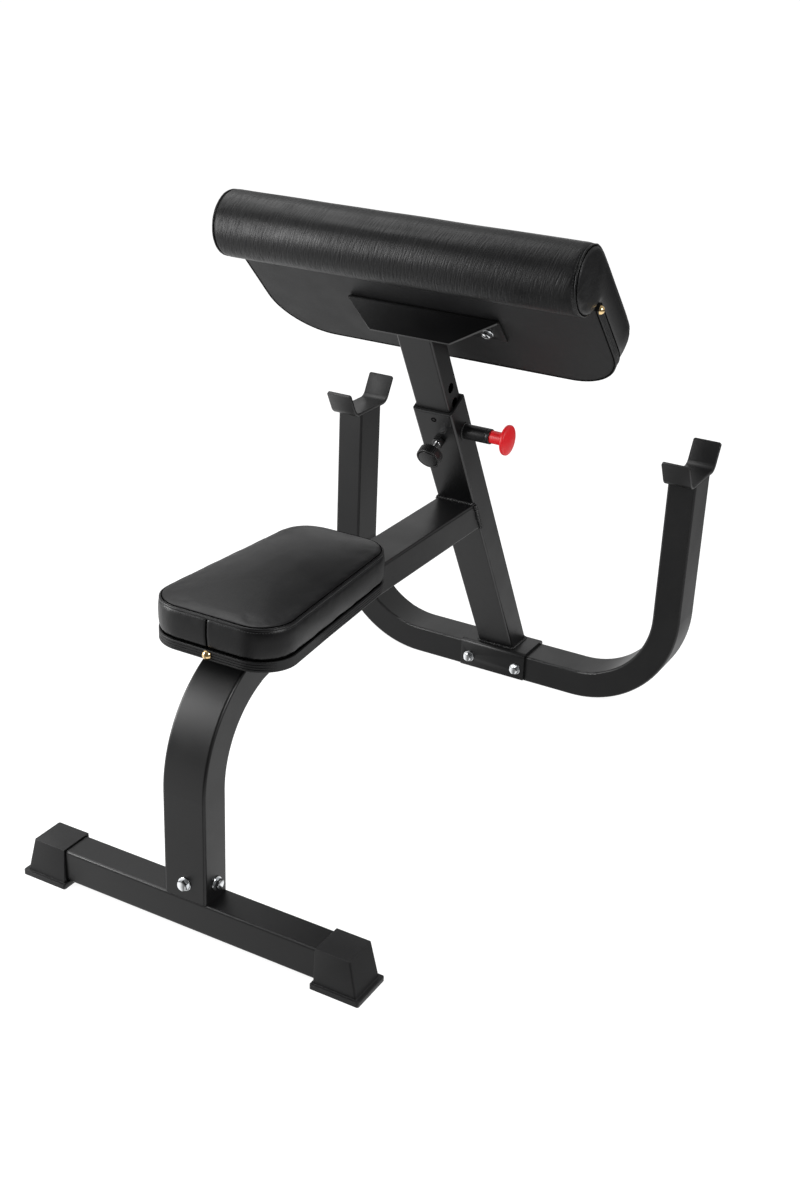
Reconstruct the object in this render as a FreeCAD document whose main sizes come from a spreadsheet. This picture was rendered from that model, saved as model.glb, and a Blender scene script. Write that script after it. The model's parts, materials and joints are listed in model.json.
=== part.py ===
import FreeCAD, Part
import math
import os
import re
import Sketcher
from FreeCAD import Placement, Rotation, Vector

os.makedirs("parts", exist_ok=True)
doc = FreeCAD.newDocument("preacher_curl_bench")

# Driving dimensions, in millimetres and degrees. X is across the bench, +Y runs from the seat to the
# arm pad, +Z is up. Places along Y are counted from the rear face of the rear stabilizer.
sizes = {
    # frame tubes
    "tube_wide": 70,
    "tube_deep": 50,
    "tube_wall": 2.5,
    "tube_round": 1.5,
    # clearances and the overrun of cuts
    "fit_gap": 0.3,
    "turn_gap": 0.05,
    "overrun": 6,
    # rear stabilizer and its caps
    "rear_tube": 50,
    "rear_length": 532,
    "rear_lift": 9.5,
    "cap_wall": 2.5,
    "cap_cover": 52.4,
    "cap_end_flare": 14,
    "cap_side_flare": 3.5,
    "cap_lip": 4,
    "cap_lip_height": 8,
    "cap_round": 3,
    # seat post and beam, bent from one tube
    "beam_top": 405,
    "post_bend": 159,
    "socket_wall": 3,
    "socket_height": 62,
    "socket_bolt_height": 24.5,
    # leaning upright
    "lean": 29.5,
    "upright_length": 622,
    "nib_drop": 13.5,
    "nib_radius": 3,
    # U-frame with the bar catches
    "frame_centre": 992.5,
    "frame_half": 349,
    "frame_bend": 165,
    "frame_top": 446,
    "catch_wide": 50,
    "catch_thick": 6,
    "catch_flat": 112,
    "catch_splay": 24,
    "catch_rise": 45,
    "catch_round": 16,
    # saddle that joins the upright to the U-frame
    "saddle_wide": 130,
    "saddle_thick": 5,
    "saddle_lift": 3,
    "saddle_round": 3,
    "saddle_bolt_spread": 96,
    "saddle_bolt_height": 22.5,
    # pad post, its bushing and its lower glide
    "inner_wide": 60,
    "inner_deep": 40,
    "inner_wall": 2,
    "inner_round": 1.5,
    "inner_reach": 172.6,
    "inner_tail": 190,
    "hole_radius": 8.3,
    "hole_pitch": 31.5,
    "hole_count": 6,
    "holes_above": 3,
    "bushing_length": 38,
    "bushing_lip": 4,
    "glide_flange": 4,
    "glide_plug": 20,
    "glide_wall": 3,
    # pad bracket
    "bracket_thick": 4,
    "bracket_wide": 256,
    "bracket_narrow": 136,
    "bracket_web": 55,
    "bracket_flange": 52,
    "bracket_round": 3,
    "pad_bolt_spread": 200,
    "pad_bolt_reach": 34,
    # arm pad
    "pad_slope": 46.1,
    "pad_offset": 25,
    "pad_half": 296,
    "pad_reach": 134,
    "pad_corner": 89,
    "pad_foam": 50,
    "roll_reach": 125,
    "roll_lift": 14,
    "roll_radius": 52.3,
    "roll_half": 303,
    "roll_round": 9,
    # seat
    "seat_rear": 61,
    "seat_length": 347,
    "seat_rear_half": 110,
    "seat_front_half": 81,
    "seat_corner": 49,
    "seat_foam": 61,
    # boards, trim and nails shared by seat and pad
    "board_thick": 15,
    "trim_thick": 3,
    "trim_height": 14.5,
    "nail_radius": 6.5,
    "nail_dome": 4.5,
    "nail_shank": 1.2,
    "nail_length": 12,
    # frame bolts
    "bolt_radius": 5,
    "bolt_across": 16,
    "bolt_head": 6.4,
    "bolt_grip": 16,
    "bolt_spare": 5,
    "nut_height": 8,
    "washer_radius": 10.5,
    "washer_thick": 2,
    # pad and seat screws with their tee nuts
    "screw_radius": 4,
    "screw_across": 13,
    "screw_head": 5.3,
    "screw_washer_radius": 10,
    "tee_radius": 10,
    "tee_flange": 1.5,
    "tee_barrel_radius": 5.2,
    "tee_barrel": 11,
    # spring pin
    "pin_drop": 54.5,
    "pin_radius": 7.9,
    "pin_clear": 0.5,
    "pin_guide": 3,
    "pin_collar_radius": 9.5,
    "pin_collar": 3,
    "pin_engage": 11,
    "rod_radius": 4,
    "barrel_radius": 12.5,
    "barrel_length": 48,
    "barrel_web": 4,
    "barrel_cup": 14,
    "barrel_ring": 6,
    "barrel_groove": 0.8,
    "spring_wire": 0.7,
    "spring_turns": 5,
    "pull_neck_radius": 9.6,
    "pull_neck": 16,
    "pull_inset": 1,
    "pull_rim_radius": 24.2,
    "pull_flare": 12,
    "pull_rim": 3,
    "pull_dome": 5,
    "pull_bore": 20,
    # hand screw
    "lock_drop": 60,
    "lock_nut_across": 18,
    "stud_radius": 5,
    "stud_show": 20,
    "stud_seat": 12,
    "knob_radius": 20,
    "knob_height": 16,
    "knob_bevel": 3,
    "knob_dish": 1.2,
    "knob_rim": 3.5,
}

sheet = doc.addObject("Spreadsheet::Sheet", "sizes")
for line, (alias, value) in enumerate(sizes.items(), start=1):
    sheet.set(f"A{line}", alias)
    sheet.set(f"B{line}", str(value))
    sheet.setAlias(f"B{line}", alias)
doc.recompute()

# Proportions: heights as shares of the foam, insets as shares of the corner radius (below zero bulges),
# the seat's screws as shares of its length, and the bevel of a hexagon's corners as shares of half its
# width across flats.
seat_height_shares = (0, 0.3, 0.72, 0.79, 0.86, 0.94, 1)
seat_inset_shares = (0, -0.04, -0.03, 0.06, 0.3, 0.62, 0.95)
pad_height_shares = (0, 0.3, 0.66, 0.84, 0.94, 1)
pad_inset_shares = (0, -0.03, -0.035, -0.025, 0.005, 0.09)
seat_screw_shares = (0.5, 0.82)
bevel_low_share = 1.5
bevel_high_share = 0.92


def cells(text):
    # the same sum with each size written as a cell of the sheet
    def cell(word):
        return f"sizes.{word.group()}" if word.group() in sizes else word.group()
    return re.sub(r"[a-z_]+", cell, text)


def number(text):
    return float(sheet.evalExpression(cells(text)))


def bind(thing, **sums):
    for name, text in sums.items():
        thing.setExpression(name, cells(text))
    return thing


# Places that several pieces share
rear_top = "(rear_lift + rear_tube)"
post_middle = "(rear_tube / 2)"
beam_middle = "(beam_top - tube_deep / 2)"
saddle_top = "(tube_deep + fit_gap + saddle_thick)"
face_height = f"(({beam_middle} - {saddle_top} + tube_deep / 2 * sin(lean)) / cos(lean))"
beam_end = f"(frame_centre - tube_deep / 2 * cos(lean) - {face_height} * sin(lean))"
catch_slant = "sqrt(catch_rise ^ 2 + catch_splay ^ 2)"
catch_tip = "(frame_centre + catch_flat / 2 + catch_splay)"
cap_reach = "(cap_wall + cap_side_flare + cap_lip)"
middle = f"(({catch_tip} - {cap_reach}) / 2)"
pin_height = "(upright_length - pin_drop)"
lock_height = "(upright_length - lock_drop)"
tee_depth = "(board_thick - tee_flange)"
seat_screw_places = [("0", f"seat_rear + seat_length * {share}") for share in seat_screw_shares]


def at(x, y, z):
    return Vector(number(x), number(y) - number(middle), number(z))


outward_x = Rotation(Vector(0, 0, 1), Vector(1, 0, 0))
outward_rear = Rotation(Vector(0, 0, 1), Vector(0, -1, 0))
outward_front = Rotation(Vector(0, 0, 1), Vector(0, 1, 0))
downward = Rotation(Vector(0, 0, 1), Vector(0, 0, -1))
level = Placement(at("0", "0", "0"), Rotation())
leaning = Placement(at("0", "frame_centre", saddle_top), Rotation(Vector(1, 0, 0), number("lean")))
web_seat = leaning.multVec(Vector(0, 0, number("upright_length + inner_reach")))
sloping = Placement(web_seat, Rotation(Vector(1, 0, 0), -number("pad_slope")))
sloping = sloping.multiply(Placement(Vector(0, 0, number("pad_offset")), Rotation()))


def on_pad(across, along, up, turn):
    # a place in the pad's sloping frame: across, down the slope and out of the board
    return sloping.multiply(Placement(Vector(number(across), number(along), number(up)), turn))


pin_seat = Vector(number("tube_wide / 2"), 0, number(pin_height))
pin_line = leaning.multiply(Placement(pin_seat, outward_x))
lock_seat = Vector(0, -number("tube_deep / 2"), number(lock_height))
lock_line = leaning.multiply(Placement(lock_seat, outward_rear))


# Outlines: each corner is (across, up) or (across, up, radius), written as sums of sizes
def corner_ends(corners):
    # the corners themselves, and for each one where its arc starts, stops and turns
    spots = [Vector(number(corner[0]), number(corner[1]), 0) for corner in corners]
    ends = []
    for index, (spot, corner) in enumerate(zip(spots, corners)):
        if len(corner) < 3:
            ends.append((spot, spot, None, 0))
            continue
        back = (spots[index - 1] - spot).normalize()
        ahead = (spots[(index + 1) % len(spots)] - spot).normalize()
        half = back.getAngle(ahead) / 2
        radius = number(corner[2])
        run = radius / math.tan(half)
        centre = spot + (back + ahead).normalize() * (radius / math.sin(half))
        ends.append((spot + back * run, spot + ahead * run, centre, radius))
    return spots, ends


def hold(sketch, element, point, corner):
    for axis, text in zip("XY", corner):
        held = Sketcher.Constraint(f"Distance{axis}", -1, 1, element, point, number(text))
        sketch.setExpression(f"Constraints[{sketch.addConstraint(held)}]", cells(text))


def round_off(sketch, before, after, ends, spot, radius_text):
    start, stop, centre, radius = ends
    first = math.atan2(start.y - centre.y, start.x - centre.x)
    last = math.atan2(stop.y - centre.y, stop.x - centre.x)
    turns_left = (last - first) % (2 * math.pi) < math.pi
    span = (first, last) if turns_left else (last, first)
    arc = sketch.addGeometry(Part.ArcOfCircle(Part.Circle(centre, Vector(0, 0, 1), radius), *span), False)
    near, far = (1, 2) if turns_left else (2, 1)
    sketch.addConstraint(Sketcher.Constraint("Tangent", before, 2, arc, near))
    sketch.addConstraint(Sketcher.Constraint("Tangent", arc, far, after, 1))
    held = sketch.addConstraint(Sketcher.Constraint("Radius", arc, radius))
    sketch.setExpression(f"Constraints[{held}]", cells(radius_text))
    tip = sketch.addGeometry(Part.Point(spot), True)
    sketch.addConstraint(Sketcher.Constraint("PointOnObject", tip, 1, before))
    sketch.addConstraint(Sketcher.Constraint("PointOnObject", tip, 1, after))
    return tip


def draw(sketch, corners, closed=True):
    spots, ends = corner_ends(corners)
    count = len(corners) if closed else len(corners) - 1
    lines = []
    for index in range(count):
        run = Part.LineSegment(ends[index][1], ends[(index + 1) % len(ends)][0])
        lines.append(sketch.addGeometry(run, False))
    for index, corner in enumerate(corners):
        before = lines[index - 1] if closed or index else None
        after = lines[index] if index < count else None
        if len(corner) == 3:
            tip = round_off(sketch, before, after, ends[index], spots[index], corner[2])
            hold(sketch, tip, 1, corner)
            continue
        if before is not None and after is not None:
            sketch.addConstraint(Sketcher.Constraint("Coincident", before, 2, after, 1))
        hold(sketch, *((after, 1) if after is not None else (before, 2)), corner)


def circle(sketch, across, up, radius):
    spot = Vector(number(across), number(up), 0)
    ring = sketch.addGeometry(Part.Circle(spot, Vector(0, 0, 1), number(radius)), False)
    hold(sketch, ring, 3, (across, up))
    held = sketch.addConstraint(Sketcher.Constraint("Radius", ring, number(radius)))
    sketch.setExpression(f"Constraints[{held}]", cells(radius))


def wire(corners, height):
    # the same outline as a closed wire at a height
    spots, ends = corner_ends(corners)
    lift = Vector(0, 0, height)
    edges = []
    for index, (start, stop, centre, radius) in enumerate(ends):
        if centre is not None:
            crest = centre + (spots[index] - centre).normalize() * radius
            edges.append(Part.Arc(start + lift, crest + lift, stop + lift).toShape())
        following = ends[(index + 1) % len(ends)][0]
        edges.append(Part.LineSegment(stop + lift, following + lift).toShape())
    return Part.Wire(edges)


def rectangle(half_wide, half_deep, radius):
    return [
        (f"-({half_wide})", f"-({half_deep})", radius),
        (half_wide, f"-({half_deep})", radius),
        (half_wide, half_deep, radius),
        (f"-({half_wide})", half_deep, radius),
    ]


# Features of a body
def body_of(label, placement):
    body = doc.addObject("PartDesign::Body", label)
    body.Label = label
    body.Placement = placement
    return body


def sketch_on(body, role, lift="0"):
    sketch = body.newObject("Sketcher::SketchObject", f"{body.Name}_sketch")
    plane = next(item for item in body.Origin.OriginFeatures if item.Role == role)
    sketch.AttachmentSupport = [(plane, "")]
    sketch.MapMode = "FlatFace"
    sketch.setExpression("AttachmentOffset.Base.z", cells(lift))
    return sketch


def pad(body, sketch, length, both_ways=False):
    feature = body.newObject("PartDesign::Pad", f"{body.Name}_pad")
    feature.Profile = sketch
    feature.Midplane = both_ways
    bind(feature, Length=length)
    doc.recompute()
    return body


def cut(body, sketch, length, both_ways=False, reverse=False):
    before = body.Shape.Volume
    feature = body.newObject("PartDesign::Pocket", f"{body.Name}_cut")
    feature.Profile = sketch
    feature.Midplane = both_ways
    feature.Reversed = reverse
    bind(feature, Length=length)
    doc.recompute()
    if not body.Shape.Volume < before:
        raise RuntimeError(f"{body.Label}: a cut takes nothing away")
    return body


def holes(body, role, places, radius, length, both_ways=True, reverse=False):
    sketch = sketch_on(body, role)
    for across, up in places:
        circle(sketch, across, up, radius)
    return cut(body, sketch, length, both_ways, reverse)


def tube_section(sketch, wide, deep, wall, inner_radius, centre="0"):
    for inset, radius in (("0", f"{inner_radius} + {wall}"), (wall, inner_radius)):
        ring = rectangle(f"{wide} / 2 - {inset}", f"{deep} / 2 - {inset}", radius)
        draw(sketch, [(across, f"{centre} + {up}", turn) for across, up, turn in ring])


def turned(label, placement, corners):
    # corners are (radius, height) about the body's own Z axis
    body = body_of(label, placement)
    sketch = sketch_on(body, "XZ_Plane")
    draw(sketch, corners)
    feature = body.newObject("PartDesign::Revolution", f"{label}_turn")
    feature.Profile = sketch
    feature.ReferenceAxis = (sketch, ["V_Axis"])
    doc.recompute()
    return body


# Loose pieces made of simple solids
def cylinder(radius, height):
    return bind(doc.addObject("Part::Cylinder", "rod"), Radius=radius, Height=height)


def hexagon(across, height):
    prism = bind(doc.addObject("Part::Prism", "hexagon"), Height=height)
    prism.Polygon = 6
    return bind(prism, Circumradius=f"{across} / sqrt(3)")


def less(base, tool):
    result = doc.addObject("Part::Cut", "less")
    result.Base = base
    result.Tool = tool
    return result


def joined(*pieces):
    result = doc.addObject("Part::MultiFuse", "joined")
    result.Shapes = list(pieces)
    return result


def moved(piece, x="0", y="0", z="0"):
    piece.Placement.Base = Vector(number(x), number(y), number(z))
    return piece


def bolt(across, head, radius, length):
    # the seat of the head is at zero, the head above it and the shank below
    low = f"{across} / 2 * {bevel_low_share}"
    high = f"{across} / 2 * {bevel_high_share}"
    bevel = bind(doc.addObject("Part::Cone", "bevel"), Height=head, Radius1=low, Radius2=high)
    crown = doc.addObject("Part::MultiCommon", "crown")
    crown.Shapes = [hexagon(across, head), bevel]
    return joined(crown, moved(cylinder(radius, length), z=f"-({length})"))


def nut(across, height, radius):
    return less(hexagon(across, height), cylinder(radius, height))


def washer(radius, thick, bore):
    return less(cylinder(radius, thick), cylinder(bore, thick))


def tee_nut():
    flange = cylinder("tee_radius", "tee_flange")
    barrel = moved(cylinder("tee_barrel_radius", "tee_barrel"), z="tee_flange - tee_barrel")
    bore = moved(cylinder("screw_radius + turn_gap", "tee_barrel"), z="tee_flange - tee_barrel")
    return less(joined(flange, barrel), bore)


def group(label, pieces_and_places):
    # one named node of separate solids, each set at its own place
    members = []
    for piece, placement in pieces_and_places:
        piece.Placement = placement
        members.append(piece)
    node = doc.addObject("Part::Compound", label)
    node.Label = label
    node.Links = members
    return node


def free_form(label, shape, placement):
    node = doc.addObject("Part::Feature", label)
    node.Label = label
    node.Shape = shape
    node.Placement = placement
    return node


nodes = []


def lifted(faces, height):
    rise = Placement(Vector(0, 0, number(height)), Rotation())
    return [face.multiply(rise) for face in faces]


def washers_on(label, faces, radius, bore):
    sizes_of_washer = (radius, "washer_thick", f"{bore} + fit_gap")
    nodes.append(group(label, [(washer(*sizes_of_washer), face) for face in faces]))


def bolts_on(label, faces, length):
    sizes_of_bolt = ("bolt_across", "bolt_head", "bolt_radius", length)
    nodes.append(group(label, [(bolt(*sizes_of_bolt), face) for face in lifted(faces, "washer_thick")]))


def screws_on(label, faces, length):
    sizes_of_screw = ("screw_across", "screw_head", "screw_radius", length)
    nodes.append(group(label, [(bolt(*sizes_of_screw), face) for face in lifted(faces, "washer_thick")]))


def nuts_on(label, faces, height):
    sizes_of_nut = ("bolt_across", "nut_height", "bolt_radius + turn_gap")
    nodes.append(group(label, [(nut(*sizes_of_nut), face) for face in lifted(faces, height)]))


# Rear stabilizer with its flared caps
def make_rear_stabilizer():
    body = body_of("rear_stabilizer", level)
    sketch = sketch_on(body, "YZ_Plane")
    for inset, radius in (("0", "tube_round + tube_wall"), ("tube_wall", "tube_round")):
        side = f"rear_tube / 2 - {inset}"
        ring = rectangle(side, side, radius)
        centre = "rear_lift + rear_tube / 2"
        draw(sketch, [(f"rear_tube / 2 + {y}", f"{centre} + {z}", turn) for y, z, turn in ring])
    pad(body, sketch, "rear_length", both_ways=True)
    nodes.append(body)


def make_foot_cap(label, side):
    inner_end = at(f"{side} * (rear_length / 2 - cap_cover)", post_middle, "0")
    body = body_of(label, Placement(inner_end, Rotation(Vector(0, 0, 1), 0 if side > 0 else 180)))
    half_top = "(rear_tube / 2 + cap_wall)"
    half_low = f"({half_top} + cap_side_flare)"
    end_top = "(cap_cover + cap_wall)"
    end_low = f"({end_top} + cap_end_flare)"
    low = sketch_on(body, "XY_Plane")
    high = sketch_on(body, "XY_Plane", "rear_lift + rear_tube + fit_gap + cap_wall")
    for sketch, half, end in ((low, half_low, end_low), (high, half_top, end_top)):
        draw(sketch, [
            ("0", f"-{half}"),
            (end, f"-{half}", "cap_round"),
            (end, half, "cap_round"),
            ("0", half),
        ])
    shell = body.newObject("PartDesign::AdditiveLoft", f"{label}_shell")
    shell.Profile = low
    shell.Sections = [high]
    doc.recompute()
    lip = sketch_on(body, "XY_Plane")
    half = f"({half_low} + cap_lip)"
    end = f"({end_low} + cap_lip)"
    draw(lip, [
        ("-cap_lip", f"-{half}", "cap_round"),
        (end, f"-{half}", "cap_round"),
        (end, half, "cap_round"),
        ("-cap_lip", half, "cap_round"),
    ])
    pad(body, lip, "cap_lip_height")
    socket = sketch_on(body, "YZ_Plane")
    side_gap = "rear_tube / 2 + fit_gap"
    top_gap = f"{rear_top} + fit_gap"
    draw(socket, [
        (f"-({side_gap})", "rear_lift"),
        (side_gap, "rear_lift"),
        (side_gap, top_gap),
        (f"-({side_gap})", top_gap),
    ])
    cut(body, socket, "cap_cover", reverse=True)
    nodes.append(body)


# Seat post and beam: one tube, upright from the stabilizer, bent over and cut against the upright
def make_seat_post_beam():
    body = body_of("seat_post_beam", level)
    section = sketch_on(body, "XY_Plane", rear_top)
    tube_section(section, "tube_wide", "tube_deep", "tube_wall", "tube_round", post_middle)
    path = sketch_on(body, "YZ_Plane")
    past_end = f"{beam_end} + tube_deep"
    bend = (post_middle, beam_middle, "post_bend")
    draw(path, [(post_middle, rear_top), bend, (past_end, beam_middle)], False)
    sweep = body.newObject("PartDesign::AdditivePipe", "seat_post_beam_sweep")
    sweep.Profile = section
    sweep.Spine = path
    doc.recompute()
    half = "(tube_deep / 2 + overrun)"
    mitre = sketch_on(body, "YZ_Plane")
    draw(mitre, [
        (f"{beam_end} + {half} * tan(lean)", f"{beam_middle} - {half}"),
        (f"{beam_end} + {half} * tan(lean) + tube_deep * 2", f"{beam_middle} - {half}"),
        (f"{beam_end} + {half} * tan(lean) + tube_deep * 2", f"{beam_middle} + {half}"),
        (f"{beam_end} - {half} * tan(lean)", f"{beam_middle} + {half}"),
    ])
    cut(body, mitre, "tube_wide * 2", both_ways=True)
    rear_hole = [("0", f"{rear_top} + socket_bolt_height")]
    holes(body, "XZ_Plane", rear_hole, "bolt_radius + fit_gap", post_middle, both_ways=False)
    side_hole = [(post_middle, f"{rear_top} + socket_bolt_height")]
    holes(body, "YZ_Plane", side_hole, "bolt_radius + fit_gap", "tube_wide", both_ways=False, reverse=True)
    sketch = sketch_on(body, "XY_Plane", beam_middle)
    for place in seat_screw_places:
        circle(sketch, *place, "screw_radius + fit_gap")
    cut(body, sketch, "tube_deep * 2", both_ways=True)
    nodes.append(body)


def make_post_socket():
    # stub tube on the stabilizer that the seat post slips over, with a nut behind each bolt
    body = body_of("post_socket", level)
    section = sketch_on(body, "XY_Plane", rear_top)
    wide = "(tube_wide - tube_wall * 2 - fit_gap * 2)"
    deep = "(tube_deep - tube_wall * 2 - fit_gap * 2)"
    tube_section(section, wide, deep, "socket_wall", "tube_round", post_middle)
    pad(body, section, "socket_height")
    bolt_height = f"{rear_top} + socket_bolt_height"
    holes(body, "XZ_Plane", [("0", bolt_height)], "bolt_radius + fit_gap", post_middle, both_ways=False)
    side = [(post_middle, bolt_height)]
    holes(body, "YZ_Plane", side, "bolt_radius + fit_gap", "tube_wide", both_ways=False, reverse=True)
    nodes.append(body)
    inside = "(tube_wall + fit_gap + socket_wall)"
    rear_face = at("0", "0", bolt_height)
    side_face = at("tube_wide / 2", post_middle, bolt_height)
    faces = (Placement(rear_face, outward_rear), Placement(side_face, outward_x))
    nuts_on("socket_nuts", faces, f"-({inside} + nut_height)")
    washers_on("post_washers", faces, "washer_radius", "bolt_radius")
    bolts_on("post_bolts", faces, "bolt_grip")


# U-frame: floor tube and both uprights bent from one tube, wide side across the bench's length
def make_u_frame():
    body = body_of("u_frame", Placement(at("0", "frame_centre", "0"), Rotation()))
    side = "(frame_half - tube_deep / 2)"
    floor = "(tube_deep / 2)"
    section = sketch_on(body, "XY_Plane", "frame_top")
    for inset, radius in (("0", "tube_round + tube_wall"), ("tube_wall", "tube_round")):
        ring = rectangle(f"tube_deep / 2 - {inset}", f"tube_wide / 2 - {inset}", radius)
        draw(section, [(f"{side} + {across}", up, turn) for across, up, turn in ring])
    path = sketch_on(body, "XZ_Plane")
    draw(path, [
        (side, "frame_top"),
        (side, floor, "frame_bend"),
        (f"-{side}", floor, "frame_bend"),
        (f"-{side}", "frame_top"),
    ], False)
    sweep = body.newObject("PartDesign::AdditivePipe", "u_frame_sweep")
    sweep.Profile = section
    sweep.Spine = path
    doc.recompute()
    half = "saddle_bolt_spread / 2"
    places = [(half, "saddle_bolt_height"), (f"-{half}", "saddle_bolt_height")]
    holes(body, "XZ_Plane", places, "bolt_radius + fit_gap", "tube_wide * 2")
    nodes.append(body)


def make_bar_catch(label, side):
    # strip bent up at both ends, welded flat on the top of the tube
    place = at(f"{side} * (frame_half - tube_deep / 2)", "frame_centre", "frame_top")
    body = body_of(label, Placement(place, Rotation()))
    half = "catch_flat / 2"
    tip = f"({half} + catch_splay)"
    inner_half = f"({half} - catch_thick * ({catch_slant} - catch_splay) / catch_rise)"
    inner_tip = f"({tip} - catch_thick * catch_rise / {catch_slant})"
    inner_rise = f"(catch_rise + catch_thick * catch_splay / {catch_slant})"
    outer_round = "catch_round + catch_thick"
    sketch = sketch_on(body, "YZ_Plane")
    draw(sketch, [
        (f"-{tip}", "catch_rise"),
        (f"-{half}", "0", outer_round),
        (half, "0", outer_round),
        (tip, "catch_rise"),
        (inner_tip, inner_rise),
        (inner_half, "catch_thick", "catch_round"),
        (f"-{inner_half}", "catch_thick", "catch_round"),
        (f"-{inner_tip}", inner_rise),
    ])
    pad(body, sketch, "catch_wide", both_ways=True)
    nodes.append(body)


# Saddle: channel over the floor tube, bolted through it
def make_saddle():
    body = body_of("saddle_bracket", Placement(at("0", "frame_centre", "0"), Rotation()))
    inner = "(tube_wide / 2 + fit_gap)"
    outer = f"({inner} + saddle_thick)"
    roof = "(tube_deep + fit_gap)"
    outer_round = "saddle_round + saddle_thick"
    sketch = sketch_on(body, "YZ_Plane")
    draw(sketch, [
        (f"-{outer}", "saddle_lift"),
        (f"-{outer}", saddle_top, outer_round),
        (outer, saddle_top, outer_round),
        (outer, "saddle_lift"),
        (inner, "saddle_lift"),
        (inner, roof, "saddle_round"),
        (f"-{inner}", roof, "saddle_round"),
        (f"-{inner}", "saddle_lift"),
    ])
    pad(body, sketch, "saddle_wide", both_ways=True)
    half = "saddle_bolt_spread / 2"
    places = [(half, "saddle_bolt_height"), (f"-{half}", "saddle_bolt_height")]
    holes(body, "XZ_Plane", places, "bolt_radius + fit_gap", "tube_wide * 2")
    nodes.append(body)
    rear_faces = []
    front_faces = []
    for across, _ in places:
        near = at(across, f"frame_centre - {outer}", "saddle_bolt_height")
        far = at(across, f"frame_centre + {outer}", "saddle_bolt_height")
        rear_faces.append(Placement(near, outward_rear))
        front_faces.append(Placement(far, outward_front))
    washers_on("saddle_washers", rear_faces + front_faces, "washer_radius", "bolt_radius")
    bolts_on("saddle_bolts", rear_faces, f"({outer} * 2 + washer_thick * 2 + nut_height + bolt_spare)")
    nuts_on("saddle_nuts", front_faces, "washer_thick")


# Upright: leaning sleeve cut level where it stands on the saddle
def make_upright():
    body = body_of("upright", leaning)
    toe = "(tube_deep / 2 * tan(lean) + overrun)"
    section = sketch_on(body, "XY_Plane", f"-{toe}")
    tube_section(section, "tube_wide", "tube_deep", "tube_wall", "tube_round")
    pad(body, section, f"upright_length + {toe}")
    half = "(tube_deep / 2 + overrun)"
    foot = sketch_on(body, "YZ_Plane")
    draw(foot, [
        (f"-{half}", f"{half} * tan(lean)"),
        (f"-{half}", f"-{toe} - overrun"),
        (half, f"-{toe} - overrun"),
        (half, f"-{half} * tan(lean)"),
    ])
    cut(body, foot, "tube_wide * 2", both_ways=True)
    nib_place = ("0", "upright_length - nib_drop")
    holes(body, "XZ_Plane", [nib_place], "nib_radius + fit_gap", "tube_deep", False, True)
    holes(body, "XZ_Plane", [("0", lock_height)], "stud_radius + fit_gap", "tube_deep", False, True)
    holes(body, "YZ_Plane", [("0", pin_height)], "pin_radius + fit_gap", "tube_wide", False, True)
    nodes.append(body)


def make_post_bushing():
    # plastic liner with a lip on the mouth of the sleeve and a nib through its wall
    body = body_of("post_bushing", leaning)
    inner_wide = "(inner_wide / 2 + fit_gap)"
    inner_deep = "(inner_deep / 2 + fit_gap)"
    inner_radius = "inner_round + inner_wall + fit_gap"
    liner = sketch_on(body, "XY_Plane", "upright_length - bushing_length")
    mouth_wide = "(tube_wide / 2 - tube_wall - fit_gap)"
    mouth_deep = "(tube_deep / 2 - tube_wall - fit_gap)"
    draw(liner, rectangle(mouth_wide, mouth_deep, "tube_round"))
    pad(body, liner, "bushing_length + bushing_lip")
    lip = sketch_on(body, "XY_Plane", "upright_length")
    draw(lip, rectangle("tube_wide / 2", "tube_deep / 2", "tube_round + tube_wall"))
    pad(body, lip, "bushing_lip")
    nib = sketch_on(body, "XZ_Plane")
    circle(nib, "0", "upright_length - nib_drop", "nib_radius")
    pad(body, nib, "tube_deep / 2")
    bore = sketch_on(body, "XY_Plane", "upright_length")
    draw(bore, rectangle(inner_wide, inner_deep, inner_radius))
    cut(body, bore, "bushing_length * 4", both_ways=True)
    nodes.append(body)


# Pad post: inner tube with its row of holes, mitred under the bracket's web
def make_pad_post():
    body = body_of("pad_post", leaning)
    top = "(upright_length + inner_reach)"
    section = sketch_on(body, "XY_Plane", "upright_length - inner_tail")
    tube_section(section, "inner_wide", "inner_deep", "inner_wall", "inner_round")
    pad(body, section, "inner_tail + inner_reach + inner_deep")
    mitre = sketch_on(body, "YZ_Plane")
    front = "(inner_deep / 2 + overrun)"
    clip = "(bracket_round + bracket_thick / 2)"
    clip_start = f"(inner_deep / 2 - {clip})"
    clip_height = f"({top} + {clip_start} / tan(pad_slope + lean))"
    draw(mitre, [
        (f"-{front}", f"{top} - {front} / tan(pad_slope + lean)"),
        (clip_start, clip_height),
        (front, f"{clip_height} - {clip} - overrun"),
        (front, f"{top} + inner_deep * 2"),
        (f"-{front}", f"{top} + inner_deep * 2"),
    ])
    cut(body, mitre, "inner_wide * 2", both_ways=True)
    places = [("0", f"{pin_height} + hole_pitch * ({step} - hole_count + 1 + holes_above)")
              for step in range(int(number("hole_count")))]
    holes(body, "YZ_Plane", places, "hole_radius", "inner_wide", both_ways=False, reverse=True)
    nodes.append(body)


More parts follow.
